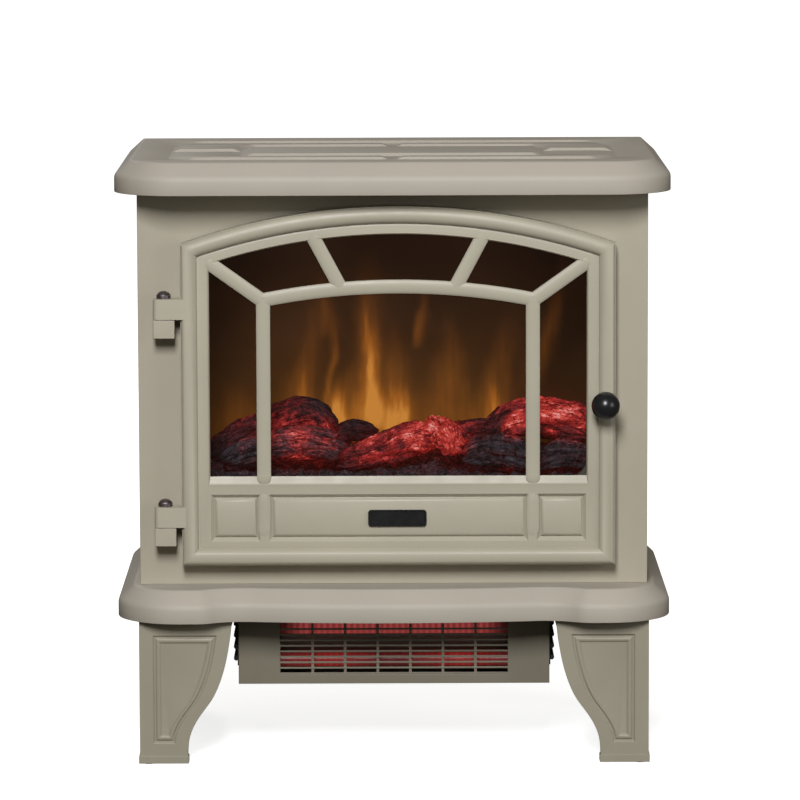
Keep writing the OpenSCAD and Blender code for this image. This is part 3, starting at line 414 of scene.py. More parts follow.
class Shell:
    """A mesh under construction: loops of points joined by walls and closed by caps."""

    def __init__(self):
        self.points = []
        self.faces = []
        self.grain = {}

    def loop(self, points):
        """Adds points and gives their numbers."""
        start = len(self.points)
        self.points.extend(Vector(point) for point in points)
        return list(range(start, len(self.points)))

    def wall(self, a, b):
        """Joins two loops of equally many points by a band of faces."""
        for k in range(len(a)):
            after = (k + 1) % len(a)
            self.faces.append((a[k], a[after], b[after], b[k]))

    def walls(self, loops):
        for a, b in zip(loops, loops[1:]):
            self.wall(a, b)

    def cap(self, outer, *holes):
        """Fills the outer loop, with the holes left open."""
        rings = [outer, *holes]
        flat = [index for ring in rings for index in ring]
        lines = [[self.points[index] for index in ring] for ring in rings]
        for triangle in geometry.tessellate_polygon(lines):
            self.faces.append(tuple(flat[corner] for corner in triangle))

    def hub(self, ring, centre):
        """Closes a ring with a fan to one point."""
        middle = self.loop([centre])[0]
        for k in range(len(ring)):
            self.faces.append((ring[k], ring[(k + 1) % len(ring)], middle))

    def box(self, low, high):
        """Plain closed box between two corners."""
        x0, y0, z0 = low
        x1, y1, z1 = high
        floor = self.loop([(x0, y0, z0), (x1, y0, z0), (x1, y1, z0), (x0, y1, z0)])
        roof = self.loop([(x0, y0, z1), (x1, y0, z1), (x1, y1, z1), (x0, y1, z1)])
        self.wall(floor, roof)
        self.cap(floor)
        self.cap(roof)

    def piece(self, name, body, node, sharp=32, soften=0.0, heat=None, finish=None):
        """Makes the object, rides it on the body and lets it stand for the CAD node."""
        mesh = bpy.data.meshes.new(name)
        mesh.from_pydata([point * MM for point in self.points], [], self.faces)
        if heat:
            grain = mesh.attributes.new("grain", "FLOAT_VECTOR", "POINT")
            for k, point in enumerate(self.points):
                grain.data[k].vector = self.grain.get(k, point) * MM
        work = bmesh.new()
        work.from_mesh(mesh)
        bmesh.ops.remove_doubles(work, verts=work.verts, dist=0.005 * MM)
        bmesh.ops.dissolve_degenerate(work, edges=work.edges, dist=0.002 * MM)
        bmesh.ops.recalc_face_normals(work, faces=work.faces)
        work.to_mesh(mesh)
        work.free()
        mesh.shade_smooth()
        mesh.set_sharp_from_angle(angle=math.radians(sharp))
        if heat:
            layer = mesh.attributes.new("ember", "FLOAT", "POINT")
            layer.data.foreach_set("value", [heat(vertex.co / MM) for vertex in mesh.vertices])
        mesh.materials.append(materials[finish or slot_of[node]])
        thing = bpy.data.objects.new(name, mesh)
        scene.collection.objects.link(thing)
        if soften:
            add_bevel(thing, soften)
        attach(thing, body)
        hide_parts(node)
        return thing


def add_bevel(thing, width, segments=2, angle=35):
    edge = thing.modifiers.new("edge", "BEVEL")
    edge.width = width * MM
    edge.segments = segments
    edge.limit_method = "ANGLE"
    edge.angle_limit = math.radians(angle)
    edge.harden_normals = True


def finish_node(name, soften):
    """Gives a CAD node its material, merged vertices and softened edges."""
    node = nodes[name]
    node.data.materials.clear()
    node.data.materials.append(materials[slot_of[name]])
    for layer in ("custom_normal", "sharp_edge", "sharp_face"):
        if layer in node.data.attributes:
            node.data.attributes.remove(node.data.attributes[layer])
    node.data.shade_smooth()
    weld = node.modifiers.new("weld", "WELD")
    weld.merge_threshold = 0.01 * MM
    if soften:
        add_bevel(node, soften)
    smooth = node.modifiers.new("faces", "WEIGHTED_NORMAL")
    smooth.keep_sharp = False


def arc(cx, cy, r, start, end, steps):
    """Points of an arc between two angles in degrees, both ends included."""
    angles = [math.radians(start + (end - start) * k / steps) for k in range(steps + 1)]
    return [(cx + r * math.cos(a), cy + r * math.sin(a)) for a in angles]


def round_rect(cx, cy, w, h, r, steps=6):
    """Outline of a rectangle with rounded corners."""
    x, y = w / 2 - r, h / 2 - r
    return (arc(cx + x, cy + y, r, 0, 90, steps) + arc(cx - x, cy + y, r, 90, 180, steps)
            + arc(cx - x, cy - y, r, 180, 270, steps) + arc(cx + x, cy - y, r, 270, 360, steps))


# --- Top and base ---------------------------------------------------------------------------

top_low, top_high = span("top_slab")
base_low = span("base_slab")[0]
HALF_W, FRONT_Y, REAR_Y = top_high.x, top_low.y, top_high.y
CORNER_R = 60
CORNER_X, CORNER_Y = HALF_W - CORNER_R, FRONT_Y + CORNER_R
SLAB_FACE = 16.5
SLAB_BEVEL = 15
SLAB_H = top_high.z - top_low.z


def top_outline(i):
    """Straight front with rounded corners, moved in by i at the front and the sides."""
    return [(-HALF_W + i, REAR_Y), *arc(-CORNER_X, CORNER_Y, CORNER_R - i, 180, 270, 14),
            *arc(CORNER_X, CORNER_Y, CORNER_R - i, 270, 360, 14), (HALF_W - i, REAR_Y)]


# Front of the base, as tangent arcs: the bow in the middle, the scoop beside it, the bend
SCOOP_X, SCOOP_DEPTH, SHOULDER_X, BEND_R, BOW_RISE = 141, 13, 186, 30, 11
BEND_A = 2 * math.degrees(math.atan(SCOOP_DEPTH / (SHOULDER_X - SCOOP_X)))
SCOOP_R = (SHOULDER_X - SCOOP_X) / math.sin(math.radians(BEND_A)) - BEND_R
BOW_A = 2 * math.degrees(math.atan(BOW_RISE / SCOOP_X))
BOW_R = SCOOP_X / math.sin(math.radians(BOW_A)) - SCOOP_R
SCOOP_CY = FRONT_Y + SCOOP_DEPTH - SCOOP_R
BOW_CY = FRONT_Y + SCOOP_DEPTH - BOW_RISE + BOW_R


def base_outline(i):
    """Front with a flat at each corner, a scoop beside it and a bow in the middle."""
    half = (arc(0, BOW_CY, BOW_R - i, 270, 270 + BOW_A, 12)
            + arc(SCOOP_X, SCOOP_CY, SCOOP_R + i, 90 + BOW_A, 90 - BEND_A, 14)
            + arc(SHOULDER_X, FRONT_Y + BEND_R, BEND_R - i, 270 - BEND_A, 270, 10)
            + arc(CORNER_X, CORNER_Y, CORNER_R - i, 270, 360, 14)
            + [(HALF_W - i, REAR_Y)])
    return [(-x, y) for x, y in reversed(half[1:])] + half


# Section of both slabs: distance in from the edge, and height
EDGE = [(1.2, 0), (0.3, 0.2), (0, 0.9), (0, SLAB_FACE - 4.0), (0.3, SLAB_FACE - 1.8),
        (1.2, SLAB_FACE + 0.3), (2.6, SLAB_FACE + 2.0), (SLAB_BEVEL - 1.4, SLAB_H - 1.5),
        (SLAB_BEVEL - 0.4, SLAB_H - 0.5), (SLAB_BEVEL + 1.2, SLAB_H - 0.05), (SLAB_BEVEL + 3, SLAB_H)]


def slab_edge(shell, outline, z0):
    loops = [shell.loop([(x, y, z0 + h) for x, y in outline(i)]) for i, h in EDGE]
    shell.walls(loops)
    return loops


# Grooves of the top: the rings' middle, their width, the width of the links, depth, wall's lean
RING_Y, RING_W, LINK_W, GROOVE, SLOPE = 10, 16, 20, 2.7, 2.4
FRONT_EXTRA = 14                    # the grooves that run across are wider by this, towards the front
OUTER_RING, INNER_RING = (438, 222), (304, 128)
SIDE_SLOPE = 3.0                    # walls at the left and right lean this many times further


def corner_island(sx, sy, grow):
    """The raised L between the two rings in one quarter of the top."""
    a, b = OUTER_RING[0] / 2 - RING_W + SIDE_SLOPE * grow, OUTER_RING[1] / 2 - RING_W + grow
    c, d = INNER_RING[0] / 2 - SIDE_SLOPE * grow, INNER_RING[1] / 2 - grow
    k, link = LINK_W / 2 - SIDE_SLOPE * grow, LINK_W / 2 - grow
    if sy > 0:
        b -= FRONT_EXTRA
    else:
        d += FRONT_EXTRA
        link += FRONT_EXTRA
    outer_r, inner_r = 24 + grow, 20 - grow
    quarter = (arc(a - outer_r, b - outer_r, outer_r, 90, 0, 8) + [(a, link), (c, link)]
               + arc(c - inner_r, d - inner_r, inner_r, 0, 90, 8) + [(k, d), (k, b)])
    return [(sx * x, RING_Y + sy * y) for x, y in quarter]


def top_slab():
    """Slab with two rings of shallow grooves pressed into its top."""
    shell = Shell()
    loops = slab_edge(shell, top_outline, top_low.z)
    shell.cap(loops[0])
    z = top_high.z

    def step(points_at):
        """A groove's wall: its edge on the top and its foot, moved into the groove."""
        foot = shell.loop([(x, y, z - GROOVE) for x, y in points_at(SLOPE)])
        edge = shell.loop([(x, y, z) for x, y in points_at(0)])
        shell.wall(foot, edge)
        return foot, edge

    def ring(width, depth, r, sign, steps):
        """Rounded rectangle whose side lies FRONT_EXTRA further to the front, at one of its ends."""
        return lambda grow: round_rect(0, RING_Y - FRONT_EXTRA / 2, width + 2 * sign * SIDE_SLOPE * grow,
                                       depth - sign * FRONT_EXTRA + 2 * sign * grow, r + sign * grow, steps)

    foot, edge = step(ring(*OUTER_RING, 40, -1, 10))
    shell.cap(loops[-1], edge)
    feet = []
    for sx, sy in ((1, 1), (-1, 1), (-1, -1), (1, -1)):
        island_foot, island = step(lambda grow: corner_island(sx, sy, grow))
        shell.cap(island)
        feet.append(island_foot)
    middle_foot, middle = step(ring(*[side - 2 * RING_W for side in INNER_RING], 5, 1, 6))
    shell.cap(middle)
    shell.cap(foot, *feet, middle_foot)
    shell.piece("top", "cabinet", "top_slab", finish="slab_paint")


def base_slab():
    shell = Shell()
    loops = slab_edge(shell, base_outline, base_low.z)
    shell.cap(loops[0])
    shell.cap(loops[-1])
    shell.piece("base", "cabinet", "base_slab", finish="slab_paint")


# --- Door -----------------------------------------------------------------------------------

door_low, door_high = span("door_frame")
DOOR_X = (door_low.x + door_high.x) / 2
DOOR_HALF = (door_high.x - door_low.x) / 2
DOOR_Z, DOOR_TOP = door_low.z, door_high.z
DOOR_BACK = door_high.y
DOOR_RISE = 35
DOOR_R = (DOOR_HALF ** 2 + DOOR_RISE ** 2) / (2 * DOOR_RISE)
ARCH_Z = DOOR_TOP - DOOR_R
FLAT_Y = door_low.y + 6
SKIN_Y = FLAT_Y + 2.5
WINDOW_HALF, WINDOW_Z, WINDOW_INSET = 175.95, DOOR_Z + 84.2, 26.1
UPRIGHT_X, BAR_W = 125.75, 13.3


def arched(half_w, z0, r, y):
    """Outline with an arched top about the door's arch centre: the foot, then the arch."""
    arch = [half_w * (1 - 2 * k / 64) for k in range(65)]
    return ([(DOOR_X - half_w, y, z0), (DOOR_X + half_w, y, z0)]
            + [(DOOR_X + x, y, ARCH_Z + math.sqrt(r * r - x * x)) for x in arch])


def door_loop(shell, i, y):
    return shell.loop(arched(DOOR_HALF - i, DOOR_Z + i, DOOR_R - i, y))


def window_loop(shell, i, y, sill=0):
    return shell.loop(arched(WINDOW_HALF - i, WINDOW_Z + i - sill, DOOR_R - WINDOW_INSET - i, y))


def rect_loop(shell, x0, x1, z0, z1, y):
    return shell.loop([(x0, y, z0), (x1, y, z0), (x1, y, z1), (x0, y, z1)])


BEAD_W, BEAD_H = 15, 6
# Groove inside the bead: distance past the bead, and depth under the flat band
QUIRK = [(0.6, 0.4), (1.3, 0.4), (2.0, 0.1), (2.8, 0)]
# Edge of the window: distance in from it, depth under the flat band, and drop of the sill
WINDOW_EDGE = [(-1.8, 0, 7.4), (-1.5, -0.4, 6.6), (-1.1, -0.3, 6.0), (-0.7, 0.7, 5.0), (-0.3, 1.1, 3.0)]
# The three recesses in the rail: their ends, their heights, and the heights of the raised fields
RECESSES = [(-175.5, -129.4), (-121.4, 121.4), (129.4, 175.5)]
RECESS_Z, PANEL_Z = (209.6, 254.3), (213.5, 250.9)
RECESS_D, PANEL_IN_X = 3.6, 3
# Moulding of a raised field: distance in along x and along z, and rise over the recess's floor
FIELD_EDGE = [(0.5, 0.4, 0.2), (1.2, 0.9, 1.2), (3.2, 3.0, 2.7), (4.2, 3.9, 3.0)]
PAN_MARGIN = 1.5                    # the back of the recesses is one pan, larger by this
# Ribs behind the rail, above the door's foot, and the block for the catch, with its corners
RIB_TOP, CROSS_RIB_Z = 71, (38, 40)
CATCH_LOW, CATCH_HIGH = (191.5, SKIN_Y - 1, 358.5), (204.5, DOOR_BACK - 1.4, 394.5)
# Posts between the recesses and the stubs above them, which carry on the window's uprights
POST_W, POST_Z, POST_ENDS = 12.4, (RECESS_Z[0] + 1.5, 258.5), (11, 13)
STUB_Z, STUB_ENDS = (262.5, WINDOW_Z + 1), (8, 0)


def half_round(shell, path, width, y_front, y_body, y_back, ends=(0, 0)):
    """Bar with a rounded front along points (x, z). A non-zero end is drawn in over that length."""
    steps = 10
    section = [(-1, y_back), *[(-math.cos(math.pi * k / steps),
                                y_body + (y_front - y_body) * math.sin(math.pi * k / steps) ** 0.8)
                               for k in range(steps + 1)], (1, y_back)]
    rings = []
    for k, (x, z) in enumerate(path):
        before, after = path[max(k - 1, 0)], path[min(k + 1, len(path) - 1)]
        dx, dz = after[0] - before[0], after[1] - before[1]
        size = math.hypot(dx, dz)
        nx, nz = dz / size, -dx / size
        shrink = 1.0
        for end, point in zip(ends, (path[0], path[-1])):
            far = math.hypot(x - point[0], z - point[1])
            if end and far < end:
                shrink = math.sqrt(max(0.04, 1 - (1 - far / end) ** 2))
        rings.append(shell.loop([(x + nx * across * width / 2 * shrink,
                                  y_body + (y - y_body) * (shrink if y < y_body else 1),
                                  z + nz * across * width / 2 * shrink) for across, y in section]))
    shell.walls(rings)
    shell.cap(rings[0])
    shell.cap(rings[-1])


def line(a, b, steps=12):
    return [(a[0] + (b[0] - a[0]) * k / steps, a[1] + (b[1] - a[1]) * k / steps)
            for k in range(steps + 1)]


def door_frame():
    """Door with a round bead, a narrow quirk, a flat band and a sunk rail with raised fields."""
    shell = Shell()
    back = door_loop(shell, 0, DOOR_BACK)
    rise = [(BEAD_W / 2 * (1 - math.cos(math.pi * k / 14)), FLAT_Y - BEAD_H * math.sin(math.pi * k / 14))
            for k in range(15)]
    profile = [(0, FLAT_Y - 0.6)] + [(0.4 + i, min(y, FLAT_Y - 0.6)) for i, y in rise[:-1]]
    profile += [(BEAD_W + past, FLAT_Y + depth) for past, depth in QUIRK]
    loops = [door_loop(shell, i, y) for i, y in profile]
    shell.wall(back, loops[0])
    shell.walls(loops)
    window = [window_loop(shell, i, FLAT_Y + depth, sill) for i, depth, sill in WINDOW_EDGE]
    window.append(window_loop(shell, 0, SKIN_Y))
    shell.walls(window)
    floor_y = FLAT_Y + RECESS_D
    recesses = []
    for x0, x1 in RECESSES:
        edge = rect_loop(shell, DOOR_X + x0, DOOR_X + x1, *RECESS_Z, FLAT_Y)
        x0, x1 = DOOR_X + x0 + PANEL_IN_X, DOOR_X + x1 - PANEL_IN_X
        foot = rect_loop(shell, x0, x1, *PANEL_Z, floor_y)
        field = [rect_loop(shell, x0 + i, x1 - i, PANEL_Z[0] + j, PANEL_Z[1] - j, floor_y - up)
                 for i, j, up in FIELD_EDGE]
        shell.walls([edge, foot, *field])
        shell.cap(field[-1])
        recesses.append(edge)
    shell.cap(loops[-1], window[0], *recesses)
    rim = door_loop(shell, 2, DOOR_BACK)
    rim_foot = door_loop(shell, 2, SKIN_Y)
    pan_x = DOOR_X + RECESSES[0][0] - PAN_MARGIN, DOOR_X + RECESSES[-1][1] + PAN_MARGIN
    pan_z = RECESS_Z[0] - PAN_MARGIN, RECESS_Z[1] + PAN_MARGIN
    pan = rect_loop(shell, *pan_x, *pan_z, SKIN_Y)
    pan_back = rect_loop(shell, *pan_x, *pan_z, floor_y + 1.6)
    shell.wall(back, rim)
    shell.wall(rim, rim_foot)
    shell.cap(rim_foot, window[-1], pan)
    shell.wall(pan, pan_back)
    shell.cap(pan_back)
    for k in range(1, 8):
        x = DOOR_X + DOOR_HALF * (k / 4 - 1)
        shell.box((x - 1, floor_y + 1, DOOR_Z + 1), (x + 1, DOOR_BACK - 1, DOOR_Z + RIB_TOP))
    shell.box((DOOR_X - DOOR_HALF + 1, floor_y + 1, DOOR_Z + CROSS_RIB_Z[0]),
              (DOOR_X + DOOR_HALF - 1, DOOR_BACK - 1, DOOR_Z + CROSS_RIB_Z[1]))
    shell.box(CATCH_LOW, CATCH_HIGH)
    for side in (-1, 1):
        x = DOOR_X + side * UPRIGHT_X
        half_round(shell, line((x, POST_Z[0]), (x, POST_Z[1]), 30), POST_W, FLAT_Y - 0.6,
                   FLAT_Y + 1.5, floor_y + 0.4, POST_ENDS)
        half_round(shell, line((x, STUB_Z[0]), (x, STUB_Z[1]), 14), BAR_W, FLAT_Y - 1.0,
                   FLAT_Y + 0.8, floor_y + 0.4, STUB_ENDS)
    shell.piece("door", "door", "door_frame")


# Shallow arch, and where the spokes begin and end: distance from the door's middle, and height
INNER_TOP, INNER_R, INNER_W = DOOR_Z + 268.9, 656, 13.2
SPOKE_FOOT, SPOKE_TOP = (53.6, DOOR_Z + 261.5), (79.5, DOOR_Z + 310)
CORNER_TOP = (177.5, DOOR_Z + 286)


def window_grid():
    """Two uprights, a shallow arch and four spokes, all with rounded fronts."""
    shell = Shell()
    depth = (FLAT_Y - 0.4, FLAT_Y + 1.9, SKIN_Y - 0.05)
    centre_z = INNER_TOP - INNER_R
    middle_r = INNER_R - INNER_W / 2
    knot_z = centre_z + math.sqrt(middle_r ** 2 - UPRIGHT_X ** 2)
    for side in (-1, 1):
        x = DOOR_X + side * UPRIGHT_X
        half_round(shell, line((x, WINDOW_Z - 1), (x, knot_z + 3)), BAR_W, *depth)
        half_round(shell, line((x, knot_z - 1), (DOOR_X + side * CORNER_TOP[0], CORNER_TOP[1])),
                   BAR_W, *depth)
        half_round(shell, line((DOOR_X + side * SPOKE_FOOT[0], SPOKE_FOOT[1]),
                               (DOOR_X + side * SPOKE_TOP[0], SPOKE_TOP[1])), BAR_W, *depth)
    half_angle = math.degrees(math.asin(UPRIGHT_X / middle_r))
    half_round(shell, arc(DOOR_X, centre_z, middle_r, 90 + half_angle, 90 - half_angle, 40),
               INNER_W, *depth)
    shell.piece("window_bars", "door", "window_grid")


def door_knob():
    """Ball on a short neck, turned about Y."""
    low, high = span("door_knob")
    x, z = (low.x + high.x) / 2, (low.z + high.z) / 2
    r = (high.x - low.x) / 2
    ball_y = low.y + r
    profile = [(r * math.sin(math.radians(a)), ball_y - r * math.cos(math.radians(a)))
               for a in range(6, 150, 6)]
    profile += [(5.4, high.y - 0.8), (5.6, high.y - 0.3), (5.6, high.y)]
    shell = Shell()
    rings = [shell.loop([(x + across, y, z + up) for across, up in arc(0, 0, reach, 0, 350, 35)])
             for reach, y in profile]
    shell.walls(rings)
    shell.hub(rings[0], (x, low.y, z))
    shell.hub(rings[-1], (x, high.y, z))
    shell.piece("knob", "door", "door_knob")


def badge_plate():
    """Blank plate with a raised rim."""
    low, high = span("badge_plate")
    x, z = (low.x + high.x) / 2, (low.z + high.z) / 2
    w, h = high.x - low.x, high.z - low.z
    shell = Shell()
    section = [(0, high.y), (0, low.y + 0.5), (0.5, low.y), (1.5, low.y), (2.0, low.y + 0.6)]
    rings = [shell.loop([(px, y, pz) for px, pz in round_rect(x, z, w - 2 * i, h - 2 * i, 3 - i)])
             for i, y in section]
    shell.walls(rings)
    shell.cap(rings[0])
    shell.cap(rings[-1])
    shell.piece("badge", "door", "badge_plate")


# --- Fire -----------------------------------------------------------------------------------


def smooth_path(points, steps):
    """Points on a curve through the given ones, evenly in its parameter."""
    ends = [points[0] * 2 - points[1], *points, points[-1] * 2 - points[-2]]
    path = []
    for k in range(steps + 1):
        t = k / steps * (len(points) - 1)
        n = min(int(t), len(points) - 2)
        t -= n
        a, b, c, d = ends[n:n + 4]
        path.append(0.5 * (2 * b + (c - a) * t + (2 * a - 5 * b + 4 * c - d) * t * t
                           + (3 * b - a - 3 * c + d) * t ** 3))
    return path


def add_log(shell, spine, radii, seed, steps=64, sides=60):
    """A charred branch: split faces, ridges and cracks along the grain, and splintered ends."""
    path = smooth_path([Vector(point) for point in spine], steps)
    facets = [(2 * math.pi * k / 6 + 0.5 * noise.noise(Vector((seed, k * 3.1, 0.7))),
               0.84 + 0.16 * noise.noise(Vector((k * 2.3, seed, 4.4)))) for k in range(6)]
    rings = []
    along = 0
    for k, middle in enumerate(path):
        t = k / steps
        ahead = (path[min(k + 1, steps)] - path[max(k - 1, 0)]).normalized()
        across = ahead.cross(Vector((0, 0, 1))).normalized()
        up = across.cross(ahead)
        along += (middle - path[max(k - 1, 0)]).length
        place = t * (len(radii) - 1)
        n = min(int(place), len(radii) - 2)
        r = radii[n] + (radii[n + 1] - radii[n]) * (place - n)
        nearest = min(k, steps - k)
        tip = max(0.0, 1 - nearest / 6)
        way = ahead if k > steps / 2 else -ahead
        ring = []
        for j in range(sides):
            a = 2 * math.pi * j / sides
            turn = a + 0.004 * along
            split = sum(max(0.0, math.cos(turn - facet) / far) ** 9 for facet, far in facets) ** (-1 / 9)
            spot = Vector((math.cos(a), math.sin(a), 0))
            lump = noise.noise(spot * 1.2 + Vector((seed, 0, along * 0.045)))
            fibre = noise.fractal(spot * 3.4 + Vector((0, seed, along * 0.022)), 0.7, 2.1, 4)
            chip = noise.fractal(spot * 5 + Vector((seed, seed, along * 0.13)), 0.6, 2.3, 3)
            crack = abs(noise.noise(spot * 2.8 + Vector((seed * 2, 5, along * 0.02))))
            reach = r * (split * (1 + 0.16 * lump) + 0.17 * fibre + 0.07 * chip)
            reach -= r * 0.22 * max(0.0, 1 - crack / 0.09)
            reach *= 1 - 0.30 * tip ** 2
            burst = tip * r * 0.9 * noise.noise(spot * 2.4 + Vector((seed, 9, 9 * (k > steps / 2))))
            ring.append(middle + reach * (math.cos(a) * across + math.sin(a) * up) + burst * way)
        loop = shell.loop(ring)
        for j, index in enumerate(loop):
            a = 2 * math.pi * j / sides
            shell.grain[index] = Vector((along * 0.16 + seed * 50, r * math.cos(a), r * math.sin(a)))
        rings.append(loop)
    shell.walls(rings)
    for ring, far, near in ((rings[0], path[0], path[1]), (rings[-1], path[-1], path[-2])):
        shell.hub(ring, far + (far - near).normalized() * 1.5)


def add_wood(shell, spine, radii, seed, slivers=4):
    """A log and the slivers that have split away along the side that is seen."""
    add_log(shell, spine, radii, seed)
    path = smooth_path([Vector(point) for point in spine], 24)
    for k in range(slivers):
        first = int(2 + 9 * (1 + noise.noise(Vector((seed, k * 7.7, 1.5)))))
        last = min(23, first + int(6 + 5 * (1 + noise.noise(Vector((k * 5.1, seed, 2.5))))))
        r = radii[min(int(first / 24 * len(radii)), len(radii) - 1)]
        angle = math.radians(-25 + 135 * k / max(slivers - 1, 1))
        shift = Vector((0, -math.cos(angle), math.sin(angle))) * r * 0.68
        middle = (first + last) // 2
        add_log(shell, [path[first] + shift * 1.05, path[middle] + shift * 0.95, path[last] + shift * 1.15],
                (r * 0.30, r * 0.42, r * 0.28), seed + 3.3 * k + 1, steps=36, sides=28)


# Where the bark glows: x, z, reach and strength
GLOW = [(-92, 294, 26, 0.80), (-64, 294, 18, 0.55), (-143, 304, 22, 0.45), (-104, 322, 30, 0.34),
        (-34, 290, 20, 0.50), (-6, 294, 22, 0.80), (20, 304, 18, 0.80), (30, 290, 14, 0.55),
        (38, 318, 10, 0.70), (56, 296, 17, 1.15), (46, 311, 12, 0.70), (86, 312, 16, 0.42),
        (119, 324, 18, 0.95), (116, 308, 12, 0.85), (150, 326, 22, 1.0), (146, 308, 14, 0.5),
        (178, 312, 18, 0.9), (112, 272, 9, 0.30)]


def heat_of(bright, least=0.0):
    """Glow of the spots above, unevenly spread."""
    def heat(point):
        total = sum(strength * math.exp(-((point.x - x) ** 2 + (point.z - z) ** 2) / reach ** 2)
                    for x, z, reach, strength in GLOW)
        uneven = 0.85 + 0.5 * noise.noise(point * 0.06)
        return max(least, min(1.0, bright * total * uneven))
    return heat


def make_log(name, node, bright, *branches):
    shell = Shell()
    for spine, radii, seed in branches:
        add_wood(shell, spine, radii, seed)
    shell.piece(name, "cabinet", node, sharp=180, heat=heat_of(bright, 0.05))


def ember_bed():
    """Tray of coals, moulded in one with the pieces of wood that lie at its front."""
    low, high = span("ember_bed")
    columns, rows = 170, 58
    shell = Shell()
    grid = []
    for j in range(rows + 1):
        y = low.y + (high.y - low.y) * j / rows
        row = []
        for k in range(columns + 1):
            x = low.x + (high.x - low.x) * k / columns
            edge = min(x - low.x, high.x - x, y - low.y, high.y - y)
            spot = Vector((x, y, 0)) * 0.09
            lump = 1 - noise.voronoi(spot)[0][0] * 1.3
            ripple = noise.fractal(spot * 1.6, 0.7, 2.2, 4)
            heap = 19 * math.exp(-((y - 4) / 26) ** 2)
            height = (3 + heap + 5 * max(0.0, lump) + 4 * ripple) * min(1.0, edge / 8)
            row.append((x, y, high.z - 2 + height))
        grid.append(shell.loop(row))
    for a, b in zip(grid, grid[1:]):
        for k in range(columns):
            shell.faces.append((a[k], a[k + 1], b[k + 1], b[k]))
    rim = (grid[0] + [row[-1] for row in grid[1:]] + grid[-1][-2::-1]
           + [row[0] for row in grid[-2:0:-1]])
    floor = shell.loop([(shell.points[index].x, shell.points[index].y, low.z) for index in rim])
    shell.wall(rim, floor)
    shell.cap(floor)
    add_wood(shell, [(-160, -60, 277), (-122, -66, 291), (-84, -66, 294), (-50, -60, 286)],
             (12, 16, 18, 14), 11)
    add_wood(shell, [(72, -68, 280), (98, -74, 287), (126, -70, 280)], (15, 19, 16), 37)
    add_wood(shell, [(138, -70, 274), (160, -74, 283), (182, -68, 279)], (13, 16, 13), 41)
    shell.piece("embers", "cabinet", "ember_bed", sharp=180, heat=heat_of(0.85, 0.13))


def make_fire():
    ember_bed()
    make_log("bark_left", "log_left", 0.9,
             ([(-174, -20, 278), (-138, -18, 293), (-108, -16, 304), (-80, -16, 310), (-62, -14, 296)],
              (16, 20, 23, 24, 17), 3))
    make_log("bark_centre", "log_centre", 1.0,
             ([(-50, -54, 276), (-24, -52, 282), (0, -48, 290), (22, -44, 296), (36, -42, 295)],
              (11, 14, 17, 17, 15), 7),
             ([(37, -14, 303), (46, -44, 301), (57, -78, 294)], (12, 15, 16), 23),
             ([(48, -22, 297), (74, -20, 298), (102, -16, 297)], (13, 13, 14), 29))
    make_log("bark_right", "log_right", 1.0,
             ([(92, -16, 292), (108, -14, 307), (132, -12, 311), (160, -14, 307), (188, -18, 303)],
              (13, 19, 22, 22, 20), 13))
    make_log("bark_split", "log_split", 0.35,
             ([(-58, 0, 292), (-38, -2, 298), (-18, 0, 294)], (10, 12, 9), 17))


# --- Legs -----------------------------------------------------------------------------------

LEG_X, LEG_Y, LEG_TOP, LEG_LOW, LEG_T = 239, 140, base_low.z, 1, 12.5
PANEL_LOW, PANEL_TOP, PANEL_IN = 20, LEG_TOP - 14, 13
FOOT_W, FOOT_H, FOOT_OUT = 46, 8, 1
TIE_W = 86                          # corner plate under the base that joins the two wings
SEAM = 0.05                         # the side wing lies this much deeper, so no two faces coincide
SIDE_START = LEG_T - 3              # and begins inside the front wing
# The leg's inner edge as two Bezier curves, as (width, height), and the section of its panel
LEG_CURVES = [((45, 10), (45.5, 32), (54, 42.5), (65, 57)),
              ((65, 57), (76, 71.5), (84.5, 100), (87, LEG_TOP))]
MOULDING = [(0, 0), (0.5, 0.9), (1.4, 1.5), (2.4, 1.5), (3.0, 0.7), (4.2, 0.1), (5.6, 0.2), (6.8, 1.0),
            (7.6, 1.8), (8.6, 2.0)]


def leg_edge(z):
    """Width of the leg at a height, along its two curves."""
    curve = LEG_CURVES[z > LEG_CURVES[0][-1][1]]
    low, high = 0.0, 1.0
    for _ in range(24):
        t = (low + high) / 2
        weights = ((1 - t) ** 3, 3 * t * (1 - t) ** 2, 3 * t * t * (1 - t), t ** 3)
        x, height = (sum(w * point[axis] for w, point in zip(weights, curve)) for axis in (0, 1))
        low, high = (t, high) if height < z else (low, t)
    return x


def wing_loop(start, inset, low, top):
    """Outline of one wing as (along the wing, height)."""
    heights = [low + (top - low) * k / 32 for k in range(33)]
    return [(start, low), *[(leg_edge(max(z, 10)) - inset, z) for z in heights], (start, top)]


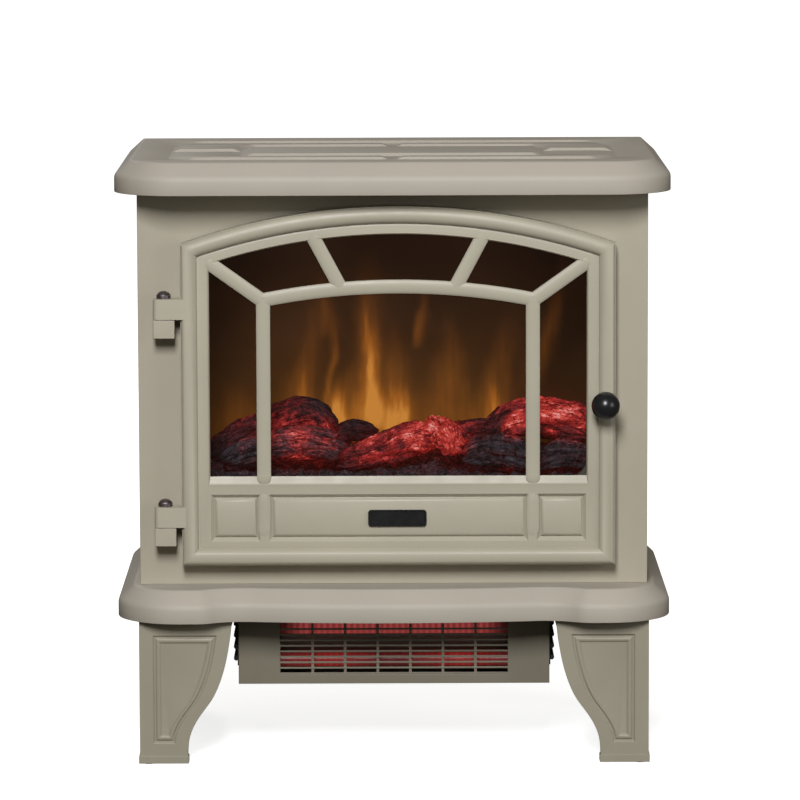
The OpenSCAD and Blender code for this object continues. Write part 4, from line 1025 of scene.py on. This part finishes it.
def leg(name, node, sx, sy):
    """Two wings round an outer corner, each with a moulded panel, over a plain foot band."""
    shell = Shell()

    def place(along, depth, z, turned):
        x, y = (depth + SEAM, along) if turned else (along, depth)
        return (sx * (LEG_X - x), sy * (LEG_Y - y), z)

    for turned in (False, True):
        def loop(outline, depth):
            return shell.loop([place(along, depth, z, turned) for along, z in outline])

        outline = wing_loop(SIDE_START if turned else 0, 0, LEG_LOW, LEG_TOP)
        face, back = loop(outline, 0), loop(outline, LEG_T)
        panel = [loop(wing_loop(PANEL_IN + i, PANEL_IN + i, PANEL_LOW + i, PANEL_TOP - i), depth)
                 for i, depth in MOULDING]
        shell.wall(face, back)
        shell.cap(back)
        shell.cap(face, panel[0])
        shell.walls(panel)
        shell.cap(panel[-1])
        corners = [place(SIDE_START if turned else -FOOT_OUT, -FOOT_OUT, LEG_LOW, turned),
                   place(FOOT_W, LEG_T - 1, FOOT_H, turned)]
        shell.box([min(pair) for pair in zip(*corners)], [max(pair) for pair in zip(*corners)])
    tie = ((1, 1), (TIE_W, 1), (TIE_W, 12), (12, TIE_W), (1, TIE_W))
    low, high = (shell.loop([place(x, y, z, False) for x, y in tie]) for z in (LEG_TOP - 4, LEG_TOP - 0.2))
    shell.wall(low, high)
    shell.cap(low)
    shell.cap(high)
    shell.piece(name, "cabinet", node, soften=0.7)


# --- Assembly -------------------------------------------------------------------------------

top_slab()
base_slab()
door_frame()
window_grid()
door_knob()
badge_plate()
make_fire()
leg("leg_fl", "leg_front_left", -1, -1)
leg("leg_fr", "leg_front_right", 1, -1)
leg("leg_rl", "leg_rear_left", -1, 1)
leg("leg_rr", "leg_rear_right", 1, 1)

REPLACED = {"top_slab", "base_slab", "door_frame", "window_grid", "door_knob", "badge_plate",
            "ember_bed", "log_left", "log_centre", "log_right", "log_split", "leg_front_left",
            "leg_front_right", "leg_rear_left", "leg_rear_right"}
# Softened edges of the CAD nodes that stay; the others get 0.25
SOFT_EDGES = {"front_frame": 1.3, "upper_hinge_arm": 0.9, "lower_hinge_arm": 0.9,
              "upper_hinge_bracket": 0.9, "lower_hinge_bracket": 0.9, "heater_housing": 0.6,
              "heater_grille": 0.3}
for node_name in nodes:
    if node_name not in REPLACED:
        finish_node(node_name, SOFT_EDGES.get(node_name, 0.25))


# --- Floor ----------------------------------------------------------------------------------

FLOOR_HALF = 60                     # metres
FADE_R = 3.0                        # radius, in metres, over which the floor's ramp runs


def make_floor():
    """Seamless white sweep, glowing less near the object as a painted shadow. It throws no light back on
    the object, so the shadows stay deep.
    """
    mesh = bpy.data.meshes.new("floor")
    corners = [(FLOOR_HALF * x, FLOOR_HALF * y, 0) for x, y in ((-1, -1), (1, -1), (1, 1), (-1, 1))]
    mesh.from_pydata(corners, [], [(0, 1, 2, 3)])
    shader = Shader("floor_paper", Roughness=0.9, Emission_Color=(1, 1, 1, 1))
    length = shader.add("ShaderNodeVectorMath", operation="LENGTH")
    shader.put(length.inputs[0], shader.place)
    # Painted shadow: the floor glows less near the object, a soft dark patch round it
    far = shader.ramp(shader.math("DIVIDE", length.outputs["Value"], FADE_R), [(0.06, 0.8), (0.3, 1.0)])
    shader.set(Emission_Strength=far)
    shader.set(Base_Color=shader.ramp(shader.noise(400), [(0.3, 0.88), (0.7, 0.9)]))
    mesh.materials.append(shader.material)
    floor = bpy.data.objects.new("floor", mesh)
    floor.visible_diffuse = False
    floor.visible_glossy = False
    scene.collection.objects.link(floor)


make_floor()
